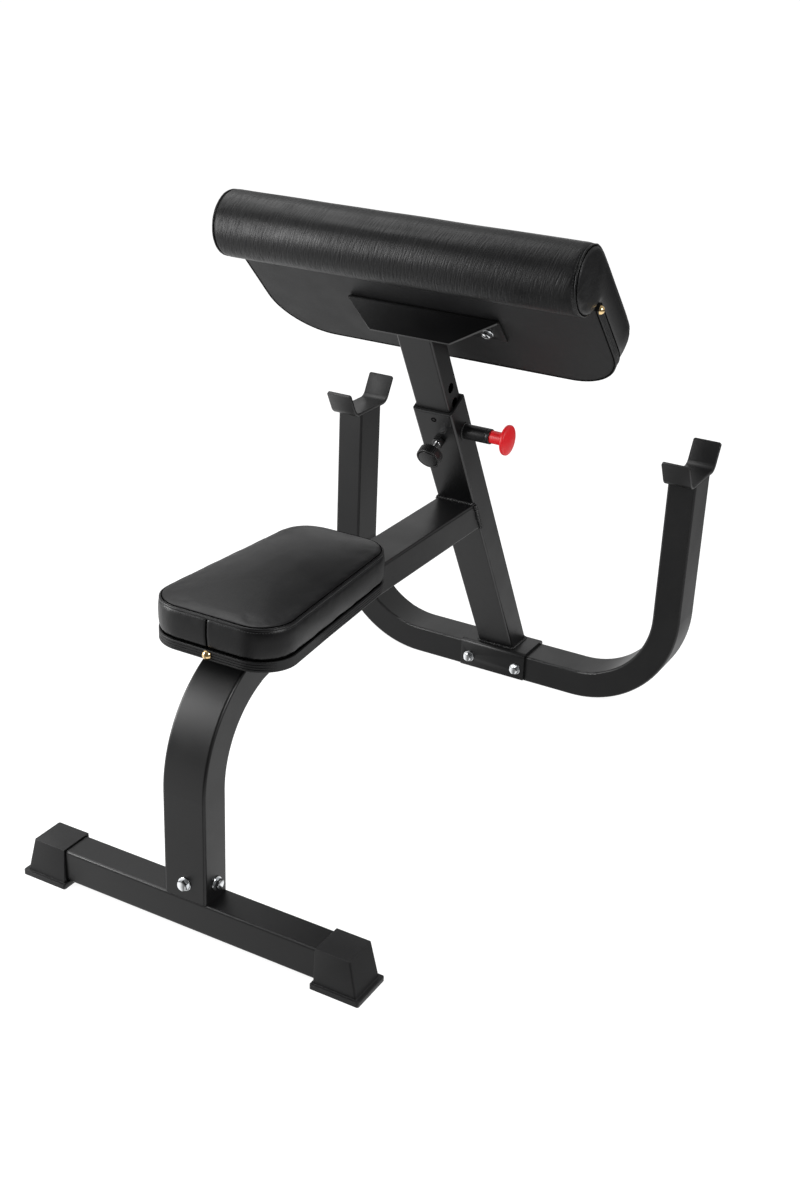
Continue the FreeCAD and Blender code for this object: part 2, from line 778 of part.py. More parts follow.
def make_post_glide():
    body = body_of("post_glide", leaning)
    foot = "(upright_length - inner_tail)"
    flange = sketch_on(body, "XY_Plane", f"{foot} - glide_flange")
    wide = "(tube_wide / 2 - tube_wall - fit_gap)"
    deep = "(tube_deep / 2 - tube_wall - fit_gap)"
    draw(flange, rectangle(wide, deep, "tube_round + fit_gap"))
    pad(body, flange, "glide_flange")
    plug = sketch_on(body, "XY_Plane", foot)
    plug_wide = "(inner_wide / 2 - inner_wall - fit_gap)"
    plug_deep = "(inner_deep / 2 - inner_wall - fit_gap)"
    draw(plug, rectangle(plug_wide, plug_deep, "inner_round"))
    draw(plug, rectangle(f"{plug_wide} - glide_wall", f"{plug_deep} - glide_wall", "inner_round"))
    pad(body, plug, "glide_plug")
    nodes.append(body)


# Pad bracket: angle plate, its web trimmed to a trapezium over the post and its flange under the board
def make_pad_bracket():
    body = body_of("pad_bracket", sloping)
    sketch = sketch_on(body, "YZ_Plane")
    draw(sketch, [
        ("-bracket_thick", "-bracket_web"),
        ("-bracket_thick", "0", "bracket_round + bracket_thick"),
        ("bracket_flange", "0"),
        ("bracket_flange", "-bracket_thick"),
        ("0", "-bracket_thick", "bracket_round"),
        ("0", "-bracket_web"),
    ])
    pad(body, sketch, "bracket_wide", both_ways=True)
    shoulder = "(bracket_thick + bracket_round)"
    past_web = "(bracket_web + overrun)"
    slant = f"((bracket_wide - bracket_narrow) / 2 / (bracket_web - {shoulder}))"
    trims = sketch_on(body, "XZ_Plane")
    for side in ("", "-"):
        draw(trims, [
            (f"{side}(bracket_wide / 2)", f"-{shoulder}"),
            (f"{side}(bracket_wide / 2 + overrun)", f"-{shoulder}"),
            (f"{side}(bracket_wide / 2 + overrun)", f"-{past_web}"),
            (f"{side}(bracket_narrow / 2 - overrun * {slant})", f"-{past_web}"),
        ])
    cut(body, trims, "bracket_thick * 4", both_ways=True)
    half = "pad_bolt_spread / 2"
    places = [(half, "pad_bolt_reach"), (f"-{half}", "pad_bolt_reach")]
    holes(body, "XY_Plane", places, "screw_radius + fit_gap", "bracket_thick * 4")
    nodes.append(body)
    faces = [on_pad(across, along, "-bracket_thick", downward) for across, along in places]
    washers_on("pad_washers", faces, "screw_washer_radius", "screw_radius")
    screws_on("pad_bolts", faces, "(washer_thick + bracket_thick + board_thick - tee_flange)")
    seats = [on_pad(across, along, tee_depth, Rotation()) for across, along in places]
    nodes.append(group("pad_tee_nuts", [(tee_nut(), seat) for seat in seats]))


def tee_holes(body, places):
    # a clear hole for each barrel and a shallow seat for each flange
    holes(body, "XY_Plane", places, "tee_barrel_radius + fit_gap", "board_thick * 4")
    seats = sketch_on(body, "XY_Plane", tee_depth)
    for across, up in places:
        circle(seats, across, up, "tee_radius + fit_gap")
    cut(body, seats, "tee_flange + overrun", reverse=True)


# Arm pad: board, edge trim, foam and the roll along its upper edge, in the pad's own sloping frame
roll_line = ("-roll_reach", "roll_lift")
nail_along = "(roll_radius + fit_gap + nail_radius - roll_reach)"


def pad_corners(inset):
    half = f"(pad_half - ({inset}))"
    low = f"(pad_reach - ({inset}))"
    turn = f"(pad_corner - ({inset}))"
    return [("-" + half, "-roll_reach"), (half, "-roll_reach"), (half, low, turn), ("-" + half, low, turn)]


def clear_roll(body):
    sketch = sketch_on(body, "YZ_Plane")
    circle(sketch, *roll_line, "roll_radius + fit_gap")
    cut(body, sketch, "roll_half * 4", both_ways=True)


def nail_hole(body, role, place, length, both_ways=True):
    holes(body, role, [place], "nail_shank + turn_gap", length, both_ways)


def make_pad_board():
    body = body_of("pad_board", sloping)
    sketch = sketch_on(body, "XY_Plane")
    draw(sketch, pad_corners("0"))
    pad(body, sketch, "board_thick")
    clear_roll(body)
    half = "pad_bolt_spread / 2"
    tee_holes(body, [(half, "pad_bolt_reach"), (f"-{half}", "pad_bolt_reach")])
    nail_hole(body, "YZ_Plane", (nail_along, "trim_height / 2"), "pad_half * 4")
    nodes.append(body)


def make_pad_trim():
    body = body_of("pad_trim", sloping)
    sketch = sketch_on(body, "XY_Plane")
    outer = pad_corners("-trim_thick")
    inner = pad_corners("0")
    draw(sketch, [outer[1], outer[2], outer[3], outer[0], inner[0], inner[3], inner[2], inner[1]])
    pad(body, sketch, "trim_height")
    clear_roll(body)
    nail_hole(body, "YZ_Plane", (nail_along, "trim_height / 2"), "pad_half * 4")
    nodes.append(body)


def make_pad_cushion():
    sections = []
    for height_share, inset_share in zip(pad_height_shares, pad_inset_shares):
        inset = f"pad_corner * {inset_share} - trim_thick"
        height = number(f"board_thick + pad_foam * {height_share}")
        sections.append(wire(pad_corners(inset), height))
    foam = Part.makeLoft(sections, True)
    reach = number("roll_half * 4")
    roll_start = Vector(-reach / 2, number("-roll_reach"), number("roll_lift"))
    foam = foam.cut(Part.makeCylinder(number("roll_radius + fit_gap"), reach, roll_start, Vector(1, 0, 0)))
    nodes.append(free_form("pad_cushion", foam, sloping))


def make_arm_roll():
    nodes.append(turned("arm_roll", on_pad("0", *roll_line, outward_x), [
        ("0", "-roll_half"),
        ("roll_radius", "-roll_half", "roll_round"),
        ("roll_radius", "roll_half", "roll_round"),
        ("0", "roll_half"),
    ]))


def nail():
    # flat underside of the head at zero, the dome above it and the shank below
    ball_radius = "(nail_radius ^ 2 + nail_dome ^ 2) / (nail_dome * 2)"
    ball = bind(doc.addObject("Part::Sphere", "ball"), Radius=ball_radius)
    moved(ball, z=f"nail_dome - {ball_radius}")
    dome = doc.addObject("Part::MultiCommon", "dome")
    dome.Shapes = [ball, cylinder("nail_radius * 2", "nail_dome * 2")]
    return joined(dome, moved(cylinder("nail_shank", "nail_length"), z="-nail_length"))


def make_pad_nails():
    places = []
    for side, outward in ((1, outward_x), (-1, Rotation(Vector(0, 0, 1), Vector(-1, 0, 0)))):
        edge = f"{side} * (pad_half + trim_thick)"
        places.append((nail(), on_pad(edge, nail_along, "trim_height / 2", outward)))
    nodes.append(group("pad_nails", places))


# Seat: tapered board, edge trim, foam and its two screws up through the beam
def seat_corners(inset):
    taper = "((seat_rear_half - seat_front_half) / seat_length)"
    slack = f"(({inset}) * sqrt(1 + {taper} ^ 2))"
    rear = f"(seat_rear_half - {slack} - ({inset}) * {taper})"
    front = f"(seat_front_half - {slack} + ({inset}) * {taper})"
    low = f"(seat_rear + ({inset}))"
    high = f"(seat_rear + seat_length - ({inset}))"
    turn = f"(seat_corner - ({inset}))"
    return [("-" + rear, low, turn), (rear, low, turn), (front, high, turn), ("-" + front, high, turn)]


on_beam = Placement(at("0", "0", "beam_top"), Rotation())


def make_seat():
    board = body_of("seat_board", on_beam)
    sketch = sketch_on(board, "XY_Plane")
    draw(sketch, seat_corners("0"))
    pad(board, sketch, "board_thick")
    tee_holes(board, seat_screw_places)
    rear_nail = ("0", "trim_height / 2")
    nail_hole(board, "XZ_Plane", rear_nail, "seat_rear + seat_length / 2", both_ways=False)
    nodes.append(board)
    trim = body_of("seat_trim", on_beam)
    sketch = sketch_on(trim, "XY_Plane")
    draw(sketch, seat_corners("-trim_thick"))
    draw(sketch, seat_corners("0"))
    pad(trim, sketch, "trim_height")
    nail_hole(trim, "XZ_Plane", rear_nail, "seat_rear + seat_length / 2", both_ways=False)
    nodes.append(trim)
    sections = []
    for height_share, inset_share in zip(seat_height_shares, seat_inset_shares):
        inset = f"seat_corner * {inset_share} - trim_thick"
        height = number(f"board_thick + seat_foam * {height_share}")
        sections.append(wire(seat_corners(inset), height))
    nodes.append(free_form("seat_cushion", Part.makeLoft(sections, True), on_beam))
    spot = at("0", "seat_rear - trim_thick", "beam_top + trim_height / 2")
    nodes.append(group("seat_nail", [(nail(), Placement(spot, outward_rear))]))
    under = [Placement(at(*place, "beam_top - tube_deep"), downward) for place in seat_screw_places]
    washers_on("seat_washers", under, "screw_washer_radius", "screw_radius")
    screws_on("seat_bolts", under, "(washer_thick + tube_deep + board_thick - tee_flange)")
    seats = [Placement(at(*place, f"beam_top + {tee_depth}"), Rotation()) for place in seat_screw_places]
    nodes.append(group("seat_tee_nuts", [(tee_nut(), seat) for seat in seats]))


# Spring pin: heights run out along the pin from the sleeve's side face, at rest just clear of the post
pin_tip = "(inner_wide / 2 + pin_clear - tube_wide / 2)"
web_start = "(barrel_length - barrel_cup - barrel_web)"
collar_start = "(pin_guide + pin_clear + pin_engage)"
collar_end = f"({collar_start} + pin_collar)"
neck_start = "(barrel_length - pull_inset)"


def make_spring_pin():
    chamber = "(pin_collar_radius + turn_gap)"
    cup = "(pull_neck_radius + fit_gap)"
    groove_radius = "barrel_radius - barrel_groove"
    nodes.append(turned("pin_barrel", pin_line, [
        ("pin_radius + turn_gap", "0"),
        ("barrel_radius", "0"),
        ("barrel_radius", "barrel_length - barrel_ring - barrel_groove"),
        (groove_radius, "barrel_length - barrel_ring - barrel_groove"),
        (groove_radius, "barrel_length - barrel_ring"),
        ("barrel_radius", "barrel_length - barrel_ring"),
        ("barrel_radius", "barrel_length"),
        (cup, "barrel_length"),
        (cup, "barrel_length - barrel_cup"),
        ("rod_radius + turn_gap", "barrel_length - barrel_cup"),
        ("rod_radius + turn_gap", web_start),
        (chamber, web_start),
        (chamber, "pin_guide"),
        ("pin_radius + turn_gap", "pin_guide"),
    ]))
    nodes.append(turned("plunger_pin", pin_line, [
        ("0", pin_tip),
        ("pin_radius", pin_tip, "pin_clear"),
        ("pin_radius", collar_start),
        ("pin_collar_radius", collar_start),
        ("pin_collar_radius", collar_end),
        ("rod_radius", collar_end),
        ("rod_radius", f"{neck_start} + pull_bore - fit_gap"),
        ("0", f"{neck_start} + pull_bore - fit_gap"),
    ]))
    flare = f"({neck_start} + pull_neck)"
    rim = f"({flare} + pull_flare)"
    nodes.append(turned("pull_knob", pin_line, [
        ("rod_radius + turn_gap", neck_start),
        ("pull_neck_radius", neck_start),
        ("pull_neck_radius", flare, "pull_flare"),
        ("pull_rim_radius", rim, "pull_rim / 3"),
        ("pull_rim_radius", f"{rim} + pull_rim", "pull_rim"),
        ("0", f"{rim} + pull_rim + pull_dome"),
        ("0", f"{neck_start} + pull_bore"),
        ("rod_radius + turn_gap", f"{neck_start} + pull_bore"),
    ]))


def helix_spot(turn, radius, start, pitch):
    return Vector(radius * math.cos(turn), radius * math.sin(turn), start + pitch * turn / (2 * math.pi))


def helix_heading(turn, radius, pitch):
    return Vector(-radius * math.sin(turn), radius * math.cos(turn), pitch / (2 * math.pi)).normalize()


def arc_between(start, control, stop):
    chord = (start + stop) * 0.5
    lean_angle = (control - start).getAngle(stop - start)
    crest = chord + (control - chord) * (math.tan(lean_angle / 2) / math.tan(lean_angle))
    return Part.Arc(start, crest, stop).toShape()


def make_pin_spring():
    # coil round the rod between the collar and the barrel's web, on two arcs for each quarter turn
    wire_radius = number("spring_wire")
    radius = number("(rod_radius + pin_collar_radius) / 2")
    start = number(collar_end) + wire_radius + number("fit_gap")
    stop = number(web_start) - wire_radius - number("fit_gap")
    quarters = int(number("spring_turns") * 4)
    pitch = (stop - start) / number("spring_turns")
    edges = []
    for quarter in range(quarters):
        turn, following = quarter * math.pi / 2, (quarter + 1) * math.pi / 2
        here, there = (helix_spot(angle, radius, start, pitch) for angle in (turn, following))
        leave, arrive = (helix_heading(angle, radius, pitch) for angle in (turn, following))
        span = there - here
        bend = 2 * leave.dot(arrive) - 2
        along = span.dot(leave + arrive)
        reach = (along - math.sqrt(along ** 2 - bend * span.dot(span))) / bend
        near, far = here + leave * reach, there - arrive * reach
        halfway = (near + far) * 0.5
        edges += [arc_between(here, near, halfway), arc_between(halfway, far, there)]
    ring = Part.Circle(helix_spot(0, radius, start, pitch), helix_heading(0, radius, pitch), wire_radius)
    coil = Part.Wire(edges).makePipeShell([Part.Wire(ring.toShape())], True, False)
    samples_count = 4
    spots = Part.Wire(edges).discretize(len(edges) * samples_count)
    half_turn = 4 * samples_count
    least = min(
        near.distanceToPoint(far)
        for index, near in enumerate(spots)
        for far in spots[index + half_turn:]
    )
    print(f"pin_spring: least gap between turns {least - 2 * wire_radius:.2f} mm")
    nodes.append(free_form("pin_spring", coil, pin_line))


# Hand screw: heights run out along the stud from the sleeve's rear face
def make_hand_screw():
    knob_start = "(nut_height + stud_show)"
    knob_end = f"({knob_start} + knob_height)"
    tip = "(inner_deep / 2 + fit_gap - tube_deep / 2)"
    bore = "stud_radius + turn_gap"
    nodes.append(group("lock_weld_nut", [(nut("lock_nut_across", "nut_height", bore), lock_line)]))
    nodes.append(turned("lock_stud", lock_line, [
        ("0", tip),
        ("stud_radius", tip),
        ("stud_radius", f"{knob_start} + stud_seat - fit_gap"),
        ("0", f"{knob_start} + stud_seat - fit_gap"),
    ]))
    dish_radius = "(knob_radius - knob_bevel - knob_rim)"
    nodes.append(turned("lock_knob", lock_line, [
        (bore, knob_start),
        ("knob_radius - knob_bevel", knob_start),
        ("knob_radius", f"{knob_start} + knob_bevel"),
        ("knob_radius", f"{knob_end} - knob_bevel"),
        ("knob_radius - knob_bevel", knob_end),
        (dish_radius, knob_end),
        (dish_radius, f"{knob_end} - knob_dish"),
        ("0", f"{knob_end} - knob_dish"),
        ("0", f"{knob_start} + stud_seat"),
        (bore, f"{knob_start} + stud_seat"),
    ]))


make_rear_stabilizer()
make_foot_cap("left_foot_cap", -1)
make_foot_cap("right_foot_cap", 1)
make_seat_post_beam()
make_post_socket()
make_u_frame()
make_bar_catch("left_bar_catch", -1)
make_bar_catch("right_bar_catch", 1)
make_saddle()
make_upright()
make_post_bushing()
make_pad_post()
make_post_glide()
make_pad_bracket()
make_pad_board()
make_pad_trim()
make_pad_cushion()
make_arm_roll()
make_pad_nails()
make_seat()
make_spring_pin()
make_pin_spring()
make_hand_screw()
doc.recompute()

for thing in doc.Objects:
    if "Invalid" in thing.State or "Error" in thing.State:
        raise RuntimeError(f"{thing.Name}: {thing.State}")
for node in nodes:
    if node.Shape.isNull() or not node.Shape.isValid() or not node.Shape.Solids:
        raise RuntimeError(f"{node.Label}: no valid solid")
for node in nodes:
    node.Shape.exportStep(f"parts/{node.Label}.step")
print(f"{len(nodes)} nodes, {sum(len(node.Shape.Solids) for node in nodes)} solids")
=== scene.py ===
import json
import math

import bmesh
import bpy
from mathutils import Matrix, Vector, noise
from mathutils.bvhtree import BVHTree
from mathutils.kdtree import KDTree


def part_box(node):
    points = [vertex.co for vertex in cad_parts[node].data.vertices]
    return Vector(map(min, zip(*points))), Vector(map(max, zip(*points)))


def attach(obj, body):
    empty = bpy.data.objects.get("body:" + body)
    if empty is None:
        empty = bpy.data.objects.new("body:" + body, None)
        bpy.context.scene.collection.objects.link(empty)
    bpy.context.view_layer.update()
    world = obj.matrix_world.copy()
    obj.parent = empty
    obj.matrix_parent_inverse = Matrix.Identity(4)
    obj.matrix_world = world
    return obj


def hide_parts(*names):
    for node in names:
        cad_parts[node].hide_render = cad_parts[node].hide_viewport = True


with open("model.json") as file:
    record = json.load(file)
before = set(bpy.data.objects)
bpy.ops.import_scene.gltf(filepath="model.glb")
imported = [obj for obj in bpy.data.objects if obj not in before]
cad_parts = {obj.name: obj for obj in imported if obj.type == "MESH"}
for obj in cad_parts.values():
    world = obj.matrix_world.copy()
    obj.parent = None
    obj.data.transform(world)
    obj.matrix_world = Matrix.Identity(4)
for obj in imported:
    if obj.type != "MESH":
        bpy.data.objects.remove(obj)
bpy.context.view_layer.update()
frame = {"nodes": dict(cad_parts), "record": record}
nodes = frame["nodes"]
slotOf = {subpart["node"]: subpart["material_slot"] for subpart in frame["record"]["subparts"]}
mm = 0.001
rightward, rearward, upward = Vector((1, 0, 0)), Vector((0, -1, 0)), Vector((0, 0, 1))


# Nodes and materials
def addNode(tree, kind, inputs=(), **settings):
    # inputs are values or sockets, by key in a dictionary or else in the node's own order
    node = tree.nodes.new(kind)
    for name, value in settings.items():
        setattr(node, name, value)
    pairs = inputs.items() if isinstance(inputs, dict) else enumerate(inputs)
    for key, value in pairs:
        if isinstance(value, bpy.types.NodeSocket):
            tree.links.new(value, node.inputs[key])
        else:
            node.inputs[key].default_value = value
    return node


def hexToLinear(text):
    channels = [int(text[start:start + 2], 16) / 255 for start in (1, 3, 5)]
    linear = [c / 12.92 if c <= 0.04045 else ((c + 0.055) / 1.055) ** 2.4 for c in channels]
    return (*linear, 1.0)


def perMetre(size):
    return 1.0 / size


def newMaterial(name):
    material = bpy.data.materials.new(name)
    material.use_nodes = True
    material.node_tree.nodes.clear()
    spot = addNode(material.node_tree, "ShaderNodeTexCoord").outputs["Object"]
    return material, material.node_tree, spot


def closeMaterial(material, inputs):
    tree = material.node_tree
    shader = addNode(tree, "ShaderNodeBsdfPrincipled", inputs)
    addNode(tree, "ShaderNodeOutputMaterial", {"Surface": shader.outputs["BSDF"]})
    return material


noiseRange = (0.3, 0.7)           # nearly all of a noise's values lie between these
powderCoat = {"colour": "#0C0C0D", "peel": 1.6 * mm, "peelHeight": 0.05 * mm, "peelStrength": 0.6,
              "cloud": 70 * mm, "roughness": (0.35, 0.42)}


# polyester powder coat, sprayed and baked on steel: satin black, with an orange peel that blurs reflections
def makePowderCoat():
    material, tree, spot = newMaterial("satin_black_powder_coat")
    peel = addNode(tree, "ShaderNodeTexNoise",
                   {"Vector": spot, "Scale": perMetre(powderCoat["peel"]), "Detail": 2.0})
    cloud = addNode(tree, "ShaderNodeTexNoise",
                    {"Vector": spot, "Scale": perMetre(powderCoat["cloud"]), "Detail": 3.0})
    bump = addNode(tree, "ShaderNodeBump", {
        "Height": peel.outputs["Fac"], "Distance": powderCoat["peelHeight"],
        "Strength": powderCoat["peelStrength"]})
    gloss = addNode(tree, "ShaderNodeMapRange", (cloud.outputs["Fac"], *noiseRange, *powderCoat["roughness"]))
    return closeMaterial(material, {
        "Base Color": hexToLinear(powderCoat["colour"]), "Roughness": gloss.outputs["Result"],
        "Normal": bump.outputs["Normal"]})


plastics = {
    "moulded": {"colour": "#121213", "grit": 0.9 * mm, "gritHeight": 0.06 * mm, "roughness": (0.46, 0.58)},
    "polished": {"colour": "#0D0D0E", "grit": 1.4 * mm, "gritHeight": 0.02 * mm, "roughness": (0.26, 0.34)},
    "gritStrength": 0.5, "ior": 1.49,
}


# black plastic: polypropylene from an etched mould is matt and gritty, polished phenolic is smooth
def makePlastic(name, settings):
    material, tree, spot = newMaterial(name)
    grit = addNode(tree, "ShaderNodeTexNoise",
                   {"Vector": spot, "Scale": perMetre(settings["grit"]), "Detail": 1.0})
    bump = addNode(tree, "ShaderNodeBump", {
        "Height": grit.outputs["Fac"], "Distance": settings["gritHeight"], "Strength": plastics["gritStrength"]})
    gloss = addNode(tree, "ShaderNodeMapRange", (grit.outputs["Fac"], *noiseRange, *settings["roughness"]))
    return closeMaterial(material, {
        "Base Color": hexToLinear(settings["colour"]), "Roughness": gloss.outputs["Result"],
        "Normal": bump.outputs["Normal"], "IOR": plastics["ior"]})


metals = {
    "zinc": {"colours": ("#DADDE0", "#F2F4F5"), "blotch": 3.5 * mm, "roughness": (0.09, 0.18)},
    "steel": {"colours": ("#8E9094", "#A5A7AB"), "blotch": 2.0 * mm, "roughness": (0.24, 0.38)},
    "chrome": {"colours": ("#E4E6E8", "#F0F1F2"), "blotch": 9.0 * mm, "roughness": (0.13, 0.19)},
    "brass": {"colours": ("#DDB777", "#EFD5A6"), "blotch": 2.5 * mm, "roughness": (0.13, 0.21)},
}


# plated and bare metal: the finish clouds a little from patch to patch, in tint and in gloss
def makeMetal(name, settings):
    material, tree, spot = newMaterial(name)
    blotch = addNode(tree, "ShaderNodeTexNoise",
                     {"Vector": spot, "Scale": perMetre(settings["blotch"]), "Detail": 4.0}).outputs["Fac"]
    dark, light = map(hexToLinear, settings["colours"])
    tint = addNode(tree, "ShaderNodeMix", {0: blotch, 6: dark, 7: light}, data_type="RGBA")
    gloss = addNode(tree, "ShaderNodeMapRange", (blotch, *noiseRange, *settings["roughness"]))
    return closeMaterial(material, {
        "Base Color": tint.outputs[2], "Roughness": gloss.outputs["Result"], "Metallic": 1.0})


redPlastic = {"colours": ("#DE121E", "#E81621"), "swirl": 9 * mm, "roughness": (0.36, 0.44), "ior": 1.53}


# injection moulded red ABS: a broad soft highlight, with faint swirls of the dye in the moulding
def makeRedPlastic():
    material, tree, spot = newMaterial("glossy_red_abs")
    swirl = addNode(tree, "ShaderNodeTexNoise", {
        "Vector": spot, "Scale": perMetre(redPlastic["swirl"]), "Detail": 2.0, "Distortion": 1.5}).outputs["Fac"]
    dark, light = map(hexToLinear, redPlastic["colours"])
    tint = addNode(tree, "ShaderNodeMix", {0: swirl, 6: dark, 7: light}, data_type="RGBA")
    gloss = addNode(tree, "ShaderNodeMapRange", (swirl, *noiseRange, *redPlastic["roughness"]))
    return closeMaterial(material, {
        "Base Color": tint.outputs[2], "Roughness": gloss.outputs["Result"], "IOR": redPlastic["ior"]})


leathers = {
    "cover": {"colours": ("#0B0B0C", "#111112"), "grain": 1.5 * mm, "grainHeight": 0.05 * mm,
              "roughness": (0.34, 0.40), "sheen": 0.30},
    "trim": {"colours": ("#0A0A0B", "#0F0F10"), "grain": 1.1 * mm, "grainHeight": 0.04 * mm,
             "roughness": (0.42, 0.52), "sheen": 0.36},
    "backing": {"colours": ("#101011", "#161617"), "grain": 1.3 * mm, "grainHeight": 0.05 * mm,
                "roughness": (0.50, 0.58), "sheen": 0.45},
    "valley": (0.0, 0.25), "grainStrength": 0.5,    # a pebble rises over this part of its width
    "patch": 45 * mm,
    "crease": (2.4 * mm, 18 * mm),                  # width and length of the fine wrinkles round the roll
    "creaseHeight": 0.32 * mm, "creaseSlant": math.radians(16), "creaseWear": 0.16,
    "faintFrom": (0.42, 0.62), "faint": (0.65, 1.0),   # the wrinkles are fainter in some patches
}


# coated upholstery leather, embossed: a close pebble grain, a soft highlight, wrinkles where wrapped tight
def makeLeather(name, settings):
    material, tree, spot = newMaterial(name)
    patch = addNode(tree, "ShaderNodeTexNoise",
                    {"Vector": spot, "Scale": perMetre(leathers["patch"]), "Detail": 3.0}).outputs["Fac"]
    dark, light = map(hexToLinear, settings["colours"])
    tint = addNode(tree, "ShaderNodeMix", {0: patch, 6: dark, 7: light}, data_type="RGBA")
    pebble = addNode(tree, "ShaderNodeTexVoronoi", {"Vector": spot, "Scale": perMetre(settings["grain"])},
                     feature="DISTANCE_TO_EDGE")
    domed = addNode(tree, "ShaderNodeMapRange", (pebble.outputs["Distance"], *leathers["valley"], 0.0, 1.0))
    grain = addNode(tree, "ShaderNodeBump", {
        "Height": domed.outputs["Result"], "Distance": settings["grainHeight"],
        "Strength": leathers["grainStrength"]})
    width, length = leathers["crease"]
    stretched = addNode(tree, "ShaderNodeMapping", {
        "Vector": spot, "Scale": (width, length, length), "Rotation": (0, leathers["creaseSlant"], 0)},
        vector_type="TEXTURE")
    crease = addNode(tree, "ShaderNodeTexNoise",
                     {"Vector": stretched.outputs["Vector"], "Scale": 1.0, "Detail": 2.0})
    ridges = addNode(tree, "ShaderNodeMapRange", (crease.outputs["Fac"], *noiseRange, 0.0, 1.0))
    amount = addNode(tree, "ShaderNodeAttribute", attribute_name="creases")
    faint = addNode(tree, "ShaderNodeMapRange", (patch, *leathers["faintFrom"], *leathers["faint"]))
    patchy = addNode(tree, "ShaderNodeMath", (faint.outputs["Result"], amount.outputs["Fac"]),
                     operation="MULTIPLY")
    worn = addNode(tree, "ShaderNodeMath", (ridges.outputs["Result"], patchy.outputs[0]), operation="MULTIPLY")
    gloss = addNode(tree, "ShaderNodeMapRange", (patch, *noiseRange, *settings["roughness"]))
    dulled = addNode(tree, "ShaderNodeMath",
                     (worn.outputs[0], leathers["creaseWear"], gloss.outputs["Result"]), operation="MULTIPLY_ADD")
    wrinkle = addNode(tree, "ShaderNodeBump", {
        "Height": ridges.outputs["Result"], "Distance": leathers["creaseHeight"],
        "Strength": patchy.outputs[0], "Normal": grain.outputs["Normal"]})
    return closeMaterial(material, {
        "Base Color": tint.outputs[2], "Roughness": dulled.outputs[0], "Normal": wrinkle.outputs["Normal"],
        "Specular IOR Level": settings["sheen"]})


# the second entry is painted shade: a near-black, sheenless line standing in for the dark of seam grooves and
# gaps
threads = {
    "stitch": {"colour": "#29292A", "wave": 12 * mm, "sheen": 0.5},   # crests come at a third of the wave,
    "shadeLine": {"colour": "#030303", "wave": 22 * mm, "sheen": 0.0},     # coarser than real twist
    "roughness": 0.75, "ridge": 0.1 * mm, "ridgeStrength": 0.4,
}


# twisted polyester sewing thread with slanting ridges; the same shader, near black with no sheen, draws painted
# shade as thin lines in seam grooves and gaps
def makeThread(name, settings):
    material, tree, spot = newMaterial(name)
    twist = addNode(tree, "ShaderNodeTexWave", {"Vector": spot, "Scale": perMetre(settings["wave"])},
                    bands_direction="DIAGONAL")
    bump = addNode(tree, "ShaderNodeBump", {
        "Height": twist.outputs["Fac"], "Distance": threads["ridge"], "Strength": threads["ridgeStrength"]})
    return closeMaterial(material, {
        "Base Color": hexToLinear(settings["colour"]), "Roughness": threads["roughness"],
        "Normal": bump.outputs["Normal"], "Specular IOR Level": settings["sheen"]})


finishes = {
    "black_powder_coat": makePowderCoat(),
    "black_plastic": makePlastic("moulded_black_polypropylene", plastics["moulded"]),
    "zinc_plate": makeMetal("bright_zinc_plate", metals["zinc"]),
    "bare_steel": makeMetal("turned_steel", metals["steel"]),
    "chrome_plate": makeMetal("chrome_plate", metals["chrome"]),
    "brass": makeMetal("polished_brass", metals["brass"]),
    "red_plastic": makeRedPlastic(),
    "black_leather": makeLeather("black_coated_leather", leathers["cover"]),
    "trim_leather": makeLeather("black_edge_binding", leathers["trim"]),
    "board_wood": makeLeather("black_vinyl_backing", leathers["backing"]),
}
threadFinish = makeThread("black_polyester_thread", threads["stitch"])
# painted shade: near-black lines standing in for the shade in seam grooves and gaps
shadeLineFinish = makeThread("painted_shade_line", threads["shadeLine"])
knobFinish = makePlastic("polished_black_phenolic", plastics["polished"])
for node, slot in slotOf.items():
    for place in nodes[node].material_slots:
        place.material = finishes[slot]
print("materials:", len({*finishes.values(), threadFinish, shadeLineFinish, knobFinish}))


# Mesh helpers
def boxMiddle(node):
    low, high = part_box(node)
    return (low + high) / 2


def newPiece(name, mesh, finish):
    piece = bpy.data.objects.new(name, mesh)
    bpy.context.scene.collection.objects.link(piece)
    mesh.materials.clear()
    mesh.materials.append(finish)
    return piece


def settle(piece, body, slot, *replaced):
    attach(piece, body)
    if replaced:
        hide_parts(*replaced)


def applied(piece):
    # the piece's mesh with its modifiers worked in
    evaluated = piece.evaluated_get(bpy.context.evaluated_depsgraph_get())
    mesh = bpy.data.meshes.new_from_object(evaluated)
    piece.modifiers.clear()
    piece.data = mesh
    return piece


def meshFrom(build, name):
    mesh = bpy.data.meshes.new(name)
    build.to_mesh(mesh)
    build.free()
    return mesh


def shadeSmooth(mesh):
    mesh.polygons.foreach_set("use_smooth", [True] * len(mesh.polygons))
    mesh.update()


def sharpen(mesh, angle=35):
    # flat corners stay crisp where faces meet at more than this angle
    mesh.set_sharp_from_angle(angle=math.radians(angle))
    return mesh


def stackRings(build, rings, closedAlong=False):
    # quads through rings of equal count, into an open bmesh, the ends closed by a face or joined
    loops = [[build.verts.new(point) for point in ring] for ring in rings]
    count = len(rings[0])
    following = loops[1:] + loops[:1] if closedAlong else loops[1:]
    for loop, nextLoop in zip(loops, following):
        for step in range(count):
            ahead = (step + 1) % count
            build.faces.new((loop[step], loop[ahead], nextLoop[ahead], nextLoop[step]))
    if not closedAlong:
        build.faces.new(loops[0][::-1])
        build.faces.new(loops[-1])


def gridMesh(name, rows, closedAlong=False):
    build = bmesh.new()
    stackRings(build, rows, closedAlong)
    bmesh.ops.remove_doubles(build, verts=build.verts, dist=0.001 * mm)
    bmesh.ops.recalc_face_normals(build, faces=build.faces)
    return meshFrom(build, name)


